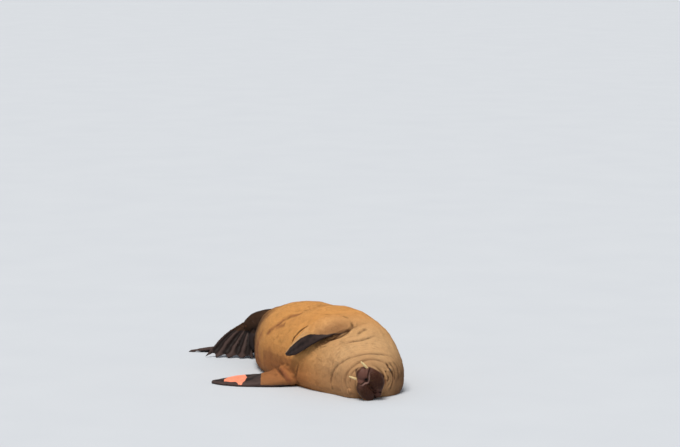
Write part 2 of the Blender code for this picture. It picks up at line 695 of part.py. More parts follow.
def cut_nostrils(muzzle, collection):
    """Two crescents that open at the top of the muzzle's front."""
    tree = surface_tree(muzzle)
    holes = []
    for side in (1.0, -1.0):
        start = head_point(NOSTRIL_PLACE[0] * side, NOSTRIL_PLACE[1], SEEN_FROM)
        place, normal = tree.ray_cast(start, -FORWARD)[:2]
        lean = (CHINWARD + RIGHTWARD * (NOSTRIL_LEAN * side)).normalized()
        turn = frame_on(normal, normal.cross(lean))
        holes.append(ellipsoid("nostril", place, turn, NOSTRIL_RADII, collection, *SMALL_FORM))
    boolean(muzzle, holes, "DIFFERENCE")


def whisker_line(root, way, length):
    """Three places along a bristle that bends towards the chin, from its sunk root to its tip."""
    tip = root + (way + CHINWARD * WHISKER_BEND) * length
    line = [root - way * WHISKER_ROOT, root + way * (length * 0.5), tip]
    return [Vector((place.x, place.y, max(place.z, WHISKER_FLOOR))) for place in line]


def whisker(line, way, collection):
    """One stiff, tapered bristle of three sides along its line."""
    side = way.orthogonal().normalized()
    other = way.cross(side)
    points = []
    for place, radius in zip(line, WHISKER_THICK):
        for step in range(3):
            turn = 2 * math.pi * step / 3
            points.append(place + (side * math.cos(turn) + other * math.sin(turn)) * radius)
    faces = [(0, 1, 2), (8, 7, 6)]
    for low in (0, 3):
        for step in range(3):
            turned = (step + 1) % 3
            faces.append((low + step, low + turned, low + 3 + turned, low + 3 + step))
    return mesh_object("whisker", points, faces, collection)


def blocked(line, trees):
    """Whether a bristle would pass into another piece."""
    for start, end in zip(line, line[1:]):
        run = end - start
        for tree in trees:
            if tree.ray_cast(start, run.normalized(), run.length + WHISKER_CLEAR)[0] is not None:
                return True
            if tree.find_nearest(end, WHISKER_CLEAR)[0] is not None:
                return True
    return False


def grow_whiskers(muzzle, others, collection):
    """Rows of whiskers on both pads, fused into the muzzle."""
    draw = random.Random(WHISKER_SEED)
    tree = surface_tree(muzzle)
    trees = [surface_tree(other) for other in others]
    bristles = []
    for side, row, column in itertools.product((1.0, -1.0), range(WHISKER_ROWS), range(WHISKERS_IN_ROW)):
        chinward = WHISKER_LOW + WHISKER_RISE * row + draw.uniform(-WHISKER_STRAY, WHISKER_STRAY)
        right = WHISKER_INNER + WHISKER_STEP * (column + 0.5 * (row % 2))
        right = (right + draw.uniform(-WHISKER_STRAY, WHISKER_STRAY)) * side
        length = draw.uniform(*WHISKER_LENGTHS)
        lean = RIGHTWARD * (side * draw.uniform(*WHISKER_SPREAD))
        lean += CHINWARD * draw.uniform(*WHISKER_DROP)
        root, normal = tree.ray_cast(head_point(right, chinward, SEEN_FROM), -FORWARD)[:2]
        if root is None or normal.dot(FORWARD) < WHISKER_FACING or root.z < WHISKER_FLOOR * 2:
            continue
        way = (normal + lean).normalized()
        if root.z + way.z * length < WHISKER_FLOOR * 2:
            way = (way + Vector((0.0, 0.0, WHISKER_LIFT))).normalized()
        line = whisker_line(root, way, length)
        depth = (line[0] - FACE_CUT[0]).dot(FORWARD)
        if depth > WHISKER_ROOT and not blocked(line, trees):
            bristles.append(whisker(line, way, collection))
    boolean(muzzle, bristles, "UNION")


def dress(collection):
    """Gives each node its own material."""
    for made in collection.objects:
        colour, roughness = FINISHES[made.name]
        material = bpy.data.materials.new(made.name)
        material.use_nodes = True
        shader = material.node_tree.nodes["Principled BSDF"]
        shader.inputs["Base Color"].default_value = (*colour, 1.0)
        shader.inputs["Roughness"].default_value = roughness
        shader.inputs["Metallic"].default_value = 0.0
        made.data.materials.clear()
        made.data.materials.append(material)


def stand_at_centre(collection):
    """Moves all nodes so that the origin is under the middle of the whole animal."""
    corners = np.array([vert.co for made in collection.objects for vert in made.data.vertices])
    low, high = corners.min(axis=0), corners.max(axis=0)
    slide = Matrix.Translation((-(low[0] + high[0]) / 2, -(low[1] + high[1]) / 2, -low[2]))
    for made in collection.objects:
        made.data.transform(slide)


def main():
    """Clears the scene and builds the walrus."""
    for old in list(bpy.data.objects):
        bpy.data.objects.remove(old)
    walrus = bpy.data.collections.new("walrus")
    bpy.context.scene.collection.children.link(walrus)
    body = fused_body(walrus)
    sit_on_floor(body)
    cleaned(free_right_fore(body, walrus))
    cuts = [slab(place, normal, wide, walrus) for place, normal, wide in LIMB_CUTS]
    boolean(body, cuts, "DIFFERENCE")
    torso = part_islands(body, LIMB_PLACES, walrus)[0]
    front, torso = halve(torso, ("front", "torso"), *HEAD_CUT, walrus)
    neck, torso = halve(torso, ("neck", "torso"), *NECK_CUT, walrus)
    chest, torso = halve(torso, ("chest", "torso"), *CHEST_CUT, walrus)
    belly, hips = halve(torso, ("belly", "hips"), *BELLY_CUT, walrus)
    for name, (origin, way) in EYES.items():
        set_eye(name, front, origin, way, walrus)
    face, head = halve(front, ("face", "head"), *FACE_CUT, walrus)
    muzzle, jaw = part_jaw(face, walrus)
    tusks = []
    for name, table in (("right_tusk", RIGHT_TUSK), ("left_tusk", LEFT_TUSK)):
        tusks.append(tusk(name, table, walrus))
        for holder in (muzzle, jaw, head):
            boolean(holder, [tusk("socket", table, walrus, extra=GAP)], "DIFFERENCE")
    cut_nostrils(muzzle, walrus)
    grow_whiskers(muzzle, (head, jaw, *tusks), walrus)
    for made in (muzzle, jaw, head):
        cleaned(made)
    stand_at_centre(walrus)
    dress(walrus)


main()
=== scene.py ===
"""The looks of a young walrus that rests on its back and left side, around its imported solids.

Metres, +Z up, the floor at z = 0. The head points to -Y and the belly faces -X and up. Left and
right are the animal's own. Places are written in the body's own frame, in which the mouth's
place is known, and are slid by the frame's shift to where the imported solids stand.
"""

import json
import logging
import math
from dataclasses import dataclass, replace
from enum import Enum
from typing import Any, Optional, Sequence

import bmesh
import bpy
import numpy as np
from mathutils import Matrix, Vector
from mathutils.bvhtree import BVHTree

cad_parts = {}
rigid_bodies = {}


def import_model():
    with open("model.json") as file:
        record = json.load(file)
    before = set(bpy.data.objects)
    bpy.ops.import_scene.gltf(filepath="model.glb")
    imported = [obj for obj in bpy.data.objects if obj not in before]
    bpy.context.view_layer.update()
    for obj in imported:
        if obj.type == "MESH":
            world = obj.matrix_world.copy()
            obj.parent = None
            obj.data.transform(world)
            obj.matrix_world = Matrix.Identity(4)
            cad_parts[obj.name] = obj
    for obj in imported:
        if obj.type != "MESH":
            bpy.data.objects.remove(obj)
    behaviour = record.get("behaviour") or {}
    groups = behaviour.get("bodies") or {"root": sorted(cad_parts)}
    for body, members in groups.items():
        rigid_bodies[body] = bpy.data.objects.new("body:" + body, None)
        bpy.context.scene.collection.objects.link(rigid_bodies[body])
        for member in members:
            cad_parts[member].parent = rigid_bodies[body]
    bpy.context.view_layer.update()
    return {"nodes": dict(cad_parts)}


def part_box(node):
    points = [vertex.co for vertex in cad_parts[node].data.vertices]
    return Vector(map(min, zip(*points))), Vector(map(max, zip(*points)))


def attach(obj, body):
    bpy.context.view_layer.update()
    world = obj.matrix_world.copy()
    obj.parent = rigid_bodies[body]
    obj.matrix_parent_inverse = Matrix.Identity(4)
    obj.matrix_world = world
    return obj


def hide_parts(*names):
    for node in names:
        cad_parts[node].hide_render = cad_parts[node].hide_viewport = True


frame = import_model()
LOG = logging.getLogger("walrus")

Row = tuple[float, ...]
Colour = tuple[float, float, float]


class Part(str, Enum):
    """The flesh nodes that the skin stands for."""

    MUZZLE = "muzzle"
    JAW = "lower_jaw"
    HEAD = "head"
    NECK = "neck"
    CHEST = "chest"
    BELLY = "belly"
    HIPS = "hips"
    TAIL = "tail"
    LEFT_FORE = "left_fore_flipper"
    RIGHT_FORE = "right_fore_flipper"
    LEFT_HIND = "left_hind_flipper"
    RIGHT_HIND = "right_hind_flipper"


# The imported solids' right eye fixes how far their frame is slid from the body's own frame.
EYE_AT = Vector((0.2985, -1.0005, 0.0))
_EYE_LOW, _EYE_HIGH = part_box("right_eye")
SHIFT = np.array([
    (_EYE_LOW.x + _EYE_HIGH.x) / 2 - EYE_AT.x,
    (_EYE_LOW.y + _EYE_HIGH.y) / 2 - EYE_AT.y,
    0.0,
])

# The head's own frame, in the body's own frame.
MOUTH = np.array([0.085, -1.105, 0.135])
FORWARD = np.array([-0.345, -0.925, -0.162])
FORWARD /= np.linalg.norm(FORWARD)
CHINWARD = np.array([-0.646, 0.109, 0.756])
CHINWARD /= np.linalg.norm(CHINWARD)
RIGHTWARD = np.cross(CHINWARD, FORWARD)
RIGHTWARD /= np.linalg.norm(RIGHTWARD)


def head_point(right: float, chinward: float, forward: float) -> np.ndarray:
    """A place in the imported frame, from the head's own frame."""
    return MOUTH + RIGHTWARD * right + CHINWARD * chinward + FORWARD * forward + SHIFT


def smooth_rows(rows: Sequence[Row], count: int) -> np.ndarray:
    """Resamples a table of rows along a smooth curve through them.

    Args:
        rows: The table, each row with a place first.
        count: How many rows the result has.

    Returns:
        An array of count rows.
    """
    table = np.array(rows, float)
    steps = np.linalg.norm(np.diff(table[:, :3], axis=0), axis=1)
    at = np.concatenate([[0.0], np.cumsum(steps)])
    ahead = np.vstack([table[:1], table, table[-1:]])
    slope = (ahead[2:] - ahead[:-2]) / np.maximum(
        np.concatenate([[steps[0]], steps[:-1] + steps[1:], [steps[-1]]]), 1e-9)[:, None]
    wanted = np.linspace(0.0, at[-1], count)
    low = np.clip(np.searchsorted(at, wanted, side="right") - 1, 0, len(steps) - 1)
    span = steps[low]
    share = ((wanted - at[low]) / span)[:, None]
    span = span[:, None]
    square, cube = share ** 2, share ** 3
    return ((2 * cube - 3 * square + 1) * table[low] + (cube - 2 * square + share) * slope[low] * span
            + (3 * square - 2 * cube) * table[low + 1] + (cube - square) * slope[low + 1] * span)


def bump_at(distance: np.ndarray, width: float) -> np.ndarray:
    """A bell of height 1 over a distance."""
    return np.exp(-(distance / width) ** 2)


def ease(value: np.ndarray, start: float, end: float) -> np.ndarray:
    """Rises smoothly from 0 at start to 1 at end."""
    share = np.clip((value - start) / (end - start), 0.0, 1.0)
    return share * share * (3 - 2 * share)


class Socket:
    """A node's output whose arithmetic adds Math nodes."""

    def __init__(self, tree: "Tree", socket: bpy.types.NodeSocket) -> None:
        """Keeps the tree that the socket is in."""
        self.tree = tree
        self.socket = socket

    def math(self, operation: str, *others: Any) -> "Socket":
        """Adds a Math node whose first input is this socket."""
        return self.tree.math(operation, self, *others)

    def __add__(self, other: Any) -> "Socket":
        """Sum."""
        return self.math("ADD", other)

    def __radd__(self, other: Any) -> "Socket":
        """Sum."""
        return self.math("ADD", other)

    def __sub__(self, other: Any) -> "Socket":
        """Difference."""
        return self.math("SUBTRACT", other)

    def __rsub__(self, other: Any) -> "Socket":
        """Difference from a number."""
        return self.tree.math("SUBTRACT", other, self)

    def __mul__(self, other: Any) -> "Socket":
        """Product."""
        return self.math("MULTIPLY", other)

    def __rmul__(self, other: Any) -> "Socket":
        """Product."""
        return self.math("MULTIPLY", other)

    def __neg__(self) -> "Socket":
        """Opposite."""
        return self.math("MULTIPLY", -1.0)

    def clamp(self) -> "Socket":
        """Kept between 0 and 1."""
        return self.tree.node("ShaderNodeClamp", {}, {0: self})

    def sibling(self, name: str) -> "Socket":
        """Another output of the same node."""
        return Socket(self.tree, self.socket.node.outputs[name])

    def rise(self, start: float, end: float) -> "Socket":
        """Rises smoothly from 0 to 1 between two values."""
        return self.tree.node(
            "ShaderNodeMapRange", {"interpolation_type": "SMOOTHSTEP"}, {0: self, 1: start, 2: end})


class Tree:
    """Builds a node tree, of a material or of Geometry Nodes."""

    def __init__(self, tree: bpy.types.NodeTree) -> None:
        """Takes an empty tree."""
        self.tree = tree

    def node(self, kind: str, settings: dict[str, Any], inputs: dict[Any, Any], out: Any = 0) -> Socket:
        """Adds a node.

        Args:
            kind: The node's type.
            settings: Its properties, which are set first.
            inputs: Values or sockets by the input's name or index.
            out: The name or index of the output that is returned.

        Returns:
            The output's socket.
        """
        made = self.tree.nodes.new(kind)
        for key, value in settings.items():
            setattr(made, key, value)
        for key, value in inputs.items():
            if isinstance(value, Socket):
                self.tree.links.new(value.socket, made.inputs[key])
            else:
                made.inputs[key].default_value = value
        return Socket(self, made.outputs[out])

    def math(self, operation: str, *values: Any) -> Socket:
        """Adds a Math node."""
        return self.node("ShaderNodeMath", {"operation": operation}, dict(enumerate(values)))

    def vector(self, operation: str, *values: Any, out: Any = 0) -> Socket:
        """Adds a Vector Math node."""
        inputs = dict(enumerate(values))
        if operation == "SCALE":
            inputs = {0: values[0], "Scale": values[1]}
        return self.node("ShaderNodeVectorMath", {"operation": operation}, inputs, out)


class Finish(Tree):
    """A material with one Principled shader."""

    def __init__(self, name: str, **fixed: Any) -> None:
        """Makes the material and sets what is the same all over it.

        Args:
            name: The material's name.
            fixed: Values of the shader's own sockets, with _ for a space.
        """
        self.material = bpy.data.materials.new(name)
        self.material.use_nodes = True
        super().__init__(self.material.node_tree)
        self.tree.nodes.clear()
        self.shader = self.tree.nodes.new("ShaderNodeBsdfPrincipled")
        output = self.tree.nodes.new("ShaderNodeOutputMaterial")
        self.tree.links.new(self.shader.outputs[0], output.inputs[0])
        for key, value in fixed.items():
            self.shader.inputs[key.replace("_", " ")].default_value = value
        self.place = self.node("ShaderNodeTexCoord", {}, {}, "Object")

    def set(self, name: str, value: Any) -> None:
        """Links or sets one of the shader's sockets."""
        if isinstance(value, Socket):
            self.tree.links.new(value.socket, self.shader.inputs[name])
        else:
            self.shader.inputs[name].default_value = value

    def attribute(self, name: str) -> Socket:
        """A number kept on the mesh's corners."""
        return self.node("ShaderNodeAttribute", {"attribute_name": name}, {}, "Fac")

    def noise(self, scale: float, detail: float = 3.0, place: Optional[Socket] = None,
              rough: float = 0.5) -> Socket:
        """Noise from 0 to 1 in space."""
        inputs = {"Vector": place or self.place, "Scale": scale, "Detail": detail, "Roughness": rough}
        return self.node("ShaderNodeTexNoise", {}, inputs)

    def cells(self, scale: float, place: Optional[Socket] = None) -> Socket:
        """Distance to the nearest of scattered points."""
        inputs = {"Vector": place or self.place, "Scale": scale}
        return self.node("ShaderNodeTexVoronoi", {}, inputs, "Distance")

    def mix(self, share: Any, first: Any, second: Any) -> Socket:
        """A colour between two."""
        def full(value: Any) -> Any:
            """Adds the fourth number to a colour."""
            return value if isinstance(value, Socket) else (*value, 1.0)
        inputs = {0: share, 6: full(first), 7: full(second)}
        return self.node("ShaderNodeMix", {"data_type": "RGBA"}, inputs, 2)

    def shade(self, colour: Socket, factor: Socket) -> Socket:
        """Darkens or lightens a colour by a factor."""
        return self.vector("SCALE", colour, factor)

    def bump(self, height: Socket, depth: float, strength: float = 1.0,
             under: Optional[Socket] = None) -> Socket:
        """A Bump node, its height in units of depth."""
        inputs: dict[Any, Any] = {"Strength": strength, "Distance": depth, "Height": height}
        if under is not None:
            inputs["Normal"] = under
        return self.node("ShaderNodeBump", {}, inputs, "Normal")


class Growth(Tree):
    """A Geometry Nodes tree with named inputs, which covers a host with many small shapes."""

    def __init__(self, name: str) -> None:
        """Makes the tree with a geometry input and output."""
        self.group = bpy.data.node_groups.new(name, "GeometryNodeTree")
        super().__init__(self.group)
        self.group.interface.new_socket("Geometry", in_out="INPUT", socket_type="NodeSocketGeometry")
        self.group.interface.new_socket("Geometry", in_out="OUTPUT", socket_type="NodeSocketGeometry")
        self.entry = self.group.nodes.new("NodeGroupInput")
        self.exit = self.group.nodes.new("NodeGroupOutput")
        self.values: dict[str, float] = {}

    @property
    def host(self) -> Socket:
        """The mesh that the shapes stand on."""
        return Socket(self, self.entry.outputs["Geometry"])

    def size(self, name: str, value: float) -> Socket:
        """Adds a named input with its value."""
        made = self.group.interface.new_socket(name, in_out="INPUT", socket_type="NodeSocketFloat")
        self.values[made.identifier] = value
        return Socket(self, self.entry.outputs[name])

    def named(self, name: str, kind: str = "FLOAT") -> Socket:
        """An attribute of the host."""
        settings = {"data_type": kind}
        return self.node("GeometryNodeInputNamedAttribute", settings, {"Name": name}, "Attribute")

    def store(self, geometry: Socket, name: str, value: Socket, kind: str = "FLOAT",
              domain: str = "POINT") -> Socket:
        """Keeps a value on the geometry."""
        settings = {"data_type": kind, "domain": domain}
        inputs = {"Geometry": geometry, "Name": name, "Value": value}
        return self.node("GeometryNodeStoreNamedAttribute", settings, inputs, "Geometry")

    def random(self, low: Any, high: Any, seed: int) -> Socket:
        """A random number for each point."""
        inputs = {2: low, 3: high, 8: seed}
        return self.node("FunctionNodeRandomValue", {"data_type": "FLOAT"}, inputs, 1)

    def random_vector(self, reach: float, seed: int) -> Socket:
        """A random vector for each point."""
        inputs = {0: (-reach,) * 3, 1: (reach,) * 3, 8: seed}
        return self.node("FunctionNodeRandomValue", {"data_type": "FLOAT_VECTOR"}, inputs, 0)

    def grow(self, name: str, host: bpy.types.Object, result: Socket,
             material: bpy.types.Material) -> bpy.types.Object:
        """Makes the shapes one plain mesh.

        Args:
            name: The new piece's name.
            host: The object that they stand on.
            result: The instances.
            material: Their material.

        Returns:
            The new piece.
        """
        real = self.node("GeometryNodeRealizeInstances", {}, {"Geometry": result}, "Geometry")
        inputs = {"Geometry": real, "Material": material}
        dressed = self.node("GeometryNodeSetMaterial", {}, inputs, "Geometry")
        self.tree.links.new(dressed.socket, self.exit.inputs["Geometry"])
        piece = linked(name, host.data.copy())
        modifier = piece.modifiers.new("grow", "NODES")
        modifier.node_group = self.group
        for identifier, value in self.values.items():
            modifier[identifier] = value
        return with_modifiers(piece)


def linked(name: str, data: Optional[bpy.types.ID]) -> bpy.types.Object:
    """A new object in the scene."""
    made = bpy.data.objects.new(name, data)
    bpy.context.scene.collection.objects.link(made)
    return made


def mesh_piece(name: str, points: Any, faces: Any) -> bpy.types.Object:
    """A mesh object of points and faces, in the scene."""
    mesh = bpy.data.meshes.new(name)
    mesh.from_pydata([tuple(map(float, point)) for point in points], [], [tuple(face) for face in faces])
    return linked(name, mesh)


def worked_piece(name: str, work: bmesh.types.BMesh) -> bpy.types.Object:
    """A mesh object of what a bmesh holds, which is freed."""
    mesh = bpy.data.meshes.new(name)
    work.to_mesh(mesh)
    work.free()
    return linked(name, mesh)


def keep(mesh: bpy.types.Mesh, name: str, values: np.ndarray, domain: str = "POINT") -> None:
    """Keeps numbers, or rows of three, on a mesh's corners."""
    kind, field = ("FLOAT", "value") if values.ndim == 1 else ("FLOAT_VECTOR", "vector")
    layer = mesh.attributes.new(name, kind, domain)
    layer.data.foreach_set(field, values.astype(np.float32).ravel())


def corners_of(mesh: bpy.types.Mesh) -> np.ndarray:
    """Which vertex each corner of each face is."""
    corners = np.empty(len(mesh.loops), np.int32)
    mesh.loops.foreach_get("vertex_index", corners)
    return corners


def with_modifiers(piece: bpy.types.Object) -> bpy.types.Object:
    """Makes a piece's modifiers part of its mesh."""
    graph = bpy.context.evaluated_depsgraph_get()
    mesh = bpy.data.meshes.new_from_object(piece.evaluated_get(graph))
    old = piece.data
    piece.modifiers.clear()
    piece.data = mesh
    bpy.data.meshes.remove(old)
    return piece


def places_of(mesh: bpy.types.Mesh) -> np.ndarray:
    """The corners' places as rows."""
    flat = np.empty(len(mesh.vertices) * 3, np.float32)
    mesh.vertices.foreach_get("co", flat)
    return flat.reshape(-1, 3).astype(float)


def normals_of(mesh: bpy.types.Mesh) -> np.ndarray:
    """The corners' normals as rows."""
    flat = np.empty(len(mesh.vertices) * 3, np.float32)
    mesh.vertex_normals.foreach_get("vector", flat)
    return flat.reshape(-1, 3).astype(float)


def place_all(mesh: bpy.types.Mesh, places: np.ndarray) -> None:
    """Moves the corners to new places."""
    mesh.vertices.foreach_set("co", places.astype(np.float32).ravel())
    mesh.update()


def finished(piece: bpy.types.Object, material: bpy.types.Material, slot: str,
             *nodes: str) -> bpy.types.Object:
    """Dresses a piece, sets it on the body and hides the nodes that it stands for."""
    piece.data.materials.clear()
    piece.data.materials.append(material)
    piece.data.shade_smooth()
    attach(piece, "root")
    if nodes:
        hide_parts(*nodes)
    LOG.info("%s: %d faces", piece.name, len(piece.data.polygons))
    return piece


@dataclass(frozen=True)
class Line:
    """A line on the skin, in the body's own frame, along which it sinks, swells or changes colour: along a
    fold the dark colour is painted shade, along a streak it is the rubbed coat's colour.
    """

    points: tuple[Row, ...]
    depth: float  # how far it sinks, or swells where negative
    width: float
    dark: float = 0.6  # how strongly it colours the coat: painted shade along a fold, the rubbed colour along a streak
    bulge: float = 0.35  # height of the swelling beside it, as a share of its depth
    fade: float = 0.15  # share of its length over which each end fades

    def laid(self, tree: BVHTree) -> "Line":
        """The same line, laid on the skin whose surface, in the body's own frame, the tree holds."""
        length = np.linalg.norm(np.diff(np.array(self.points), axis=0), axis=1).sum()
        fine = smooth_rows(self.points, max(4, int(length / 0.020)))
        return replace(self, points=tuple(tuple(tree.find_nearest(Vector(place))[0]) for place in fine))

    def measure(self, places: np.ndarray) -> tuple[np.ndarray, np.ndarray]:
        """How far each place is from the line, and how strong the line is there.

        Args:
            places: Places in the body's own frame.

        Returns:
            Distances, which are large far away, and strengths from 0 to 1.
        """
        length = np.linalg.norm(np.diff(np.array(self.points)[:, :3], axis=0), axis=1).sum()
        fine = smooth_rows(self.points, max(6, int(length / 0.010)))
        reach = self.width * 5 + 0.01
        near = np.all((places > fine.min(axis=0) - reach) & (places < fine.max(axis=0) + reach), axis=1)
        distance, strength = np.ones(len(places)), np.zeros(len(places))
        far, share = line_distance(places[near], fine)
        distance[near] = far
        ends = np.minimum(share, 1.0 - share) / self.fade
        strength[near] = np.clip(ends, 0.0, 1.0)
        return distance, strength

    def relief(self, places: np.ndarray) -> np.ndarray:
        """How far the line moves the skin outwards at each place."""
        distance, strength = self.measure(places)
        beside = self.bulge * bump_at(distance - self.width * 2.2, self.width * 1.4)
        return self.depth * strength * (beside - bump_at(distance, self.width))

    def mark(self, places: np.ndarray) -> np.ndarray:
        """How strongly the line colours each place: with painted shade for a fold, with the rubbed colour
        for a streak.
        """
        distance, strength = self.measure(places)
        return self.dark * strength * bump_at(distance, self.width * 0.9)


def tree_of(mesh: bpy.types.Mesh, places: np.ndarray) -> BVHTree:
    """A mesh's surface, its corners at the given places."""
    return BVHTree.FromPolygons(places.tolist(), [tuple(face.vertices) for face in mesh.polygons])


def line_distance(places: np.ndarray, line: np.ndarray) -> tuple[np.ndarray, np.ndarray]:
    """Distance of places to a line of points, and the share along it of the nearest point."""
    best, share = np.full(len(places), 1.0), np.zeros(len(places))
    last = len(line) - 1
    for index, (start, end) in enumerate(zip(line[:-1], line[1:])):
        way = end - start
        along = np.clip((places - start) @ way / max(1e-12, float(way @ way)), 0.0, 1.0)
        far = np.linalg.norm(places - start - along[:, None] * way, axis=1)
        closer = far < best
        best[closer] = far[closer]
        share[closer] = (index + along[closer]) / last
    return best, share


def inside_outline(places: np.ndarray, outline: Sequence[Row]) -> np.ndarray:
    """Signed distance of flat places into an outline, positive inside."""
    closed = np.array([*outline, outline[0]], float)
    far, _ = line_distance(places, closed)
    within = np.zeros(len(places), bool)
    for (x0, y0), (x1, y1) in zip(closed[:-1], closed[1:]):
        crosses = (y0 > places[:, 1]) != (y1 > places[:, 1])
        within ^= crosses & (places[:, 0] < (x1 - x0) * (places[:, 1] - y0) / (y1 - y0 or 1e-12) + x0)
    return np.where(within, far, -far)


def ripples(places: np.ndarray, wavelength: float, seed: int, waves: int = 9) -> np.ndarray:
    """A smooth random field between about -1 and 1, whose swells are about a wavelength apart."""
    draw = np.random.default_rng(seed)
    total = np.zeros(len(places))
    for _ in range(waves):
        way = draw.normal(size=3)
        way *= draw.uniform(0.7, 1.3) / np.linalg.norm(way)
        total += np.sin(places @ way * (2 * math.pi / wavelength) + draw.uniform(0, 2 * math.pi))
    return total / math.sqrt(waves)


@dataclass(frozen=True)
class Arm:
    """A fore flipper's own coordinates, along a table of places, half widths and facings."""

    rows: tuple[Row, ...]
    start: float = 0.3  # share of its length from which it stands clear of the body
    steps: int = 160

    def measure(self, places: np.ndarray) -> dict[str, np.ndarray]:
        """Measures where places lie on the arm.

        Args:
            places: Places in the body's own frame.

        Returns:
            Share of its length, place across, lift over its middle, half width, inset from its
            edge, the way it runs, and whether the place is near it at all.
        """
        table = smooth_rows(self.rows, self.steps)
        way = np.gradient(table[:, :3], axis=0)
        way /= np.linalg.norm(way, axis=1)[:, None]
        face = table[:, 4:7] - way * np.einsum("ij,ij->i", table[:, 4:7], way)[:, None]
        face /= np.linalg.norm(face, axis=1)[:, None]
        side = np.cross(way, face)
        reach = 0.16
        low, high = table[:, :3].min(axis=0) - reach, table[:, :3].max(axis=0) + reach
        near = np.nonzero(np.all((places > low) & (places < high), axis=1))[0]
        index = np.zeros(len(places), int)
        for part in np.array_split(near, max(1, len(near) // 4000)):
            offsets = places[part][:, None, :] - table[None, :, :3]
            index[part] = np.einsum("ijk,ijk->ij", offsets, offsets).argmin(axis=1)
        offset = places - table[index, :3]
        across = np.einsum("ij,ij->i", offset, side[index])
        is_near = np.zeros(len(places), bool)
        is_near[near] = True
        share = index / (self.steps - 1)
        tip = np.einsum("ij,ij->i", offset, way[index]) * (share > 0.99)
        return {
            "share": share,
            "across": across,
            "lift": np.einsum("ij,ij->i", offset, face[index]),
            "half": table[index, 3],
            "inset": table[index, 3] - np.hypot(across, np.maximum(tip, 0.0)),
            "way": way[index],
            "face": face[index],
            "near": is_near,
        }


RIGHT_ARM = Arm((
    (0.320, -0.420, 0.340, 0.130, -0.05, -0.30, 0.95),
    (0.210, -0.510, 0.450, 0.130, -0.15, -0.40, 0.90),
    (0.090, -0.580, 0.500, 0.122, -0.30, -0.42, 0.86),
    (-0.020, -0.590, 0.482, 0.114, -0.52, -0.38, 0.77),
    (-0.111, -0.549, 0.431, 0.100, -0.72, -0.28, 0.62),
    (-0.188, -0.473, 0.342, 0.070, -0.90, -0.18, 0.40),
    (-0.230, -0.386, 0.276, 0.036, -0.95, -0.14, 0.28),
    (-0.244, -0.335, 0.250, 0.015, -0.97, -0.10, 0.20),
))
LEFT_ARM = Arm((
    (0.020, -0.260, 0.130, 0.150, 0.0, 0.0, 1.0),
    (-0.120, -0.250, 0.090, 0.142, 0.0, -0.1, 1.0),
    (-0.240, -0.235, 0.060, 0.124, 0.0, -0.2, 1.0),
    (-0.350, -0.195, 0.042, 0.110, 0.05, -0.25, 1.0),
    (-0.450, -0.135, 0.032, 0.112, 0.05, -0.25, 1.0),
    (-0.550, -0.070, 0.025, 0.104, 0.05, -0.22, 1.0),
    (-0.635, -0.010, 0.018, 0.070, 0.05, -0.18, 1.0),
    (-0.692, 0.042, 0.012, 0.026, 0.05, -0.10, 1.0),
))
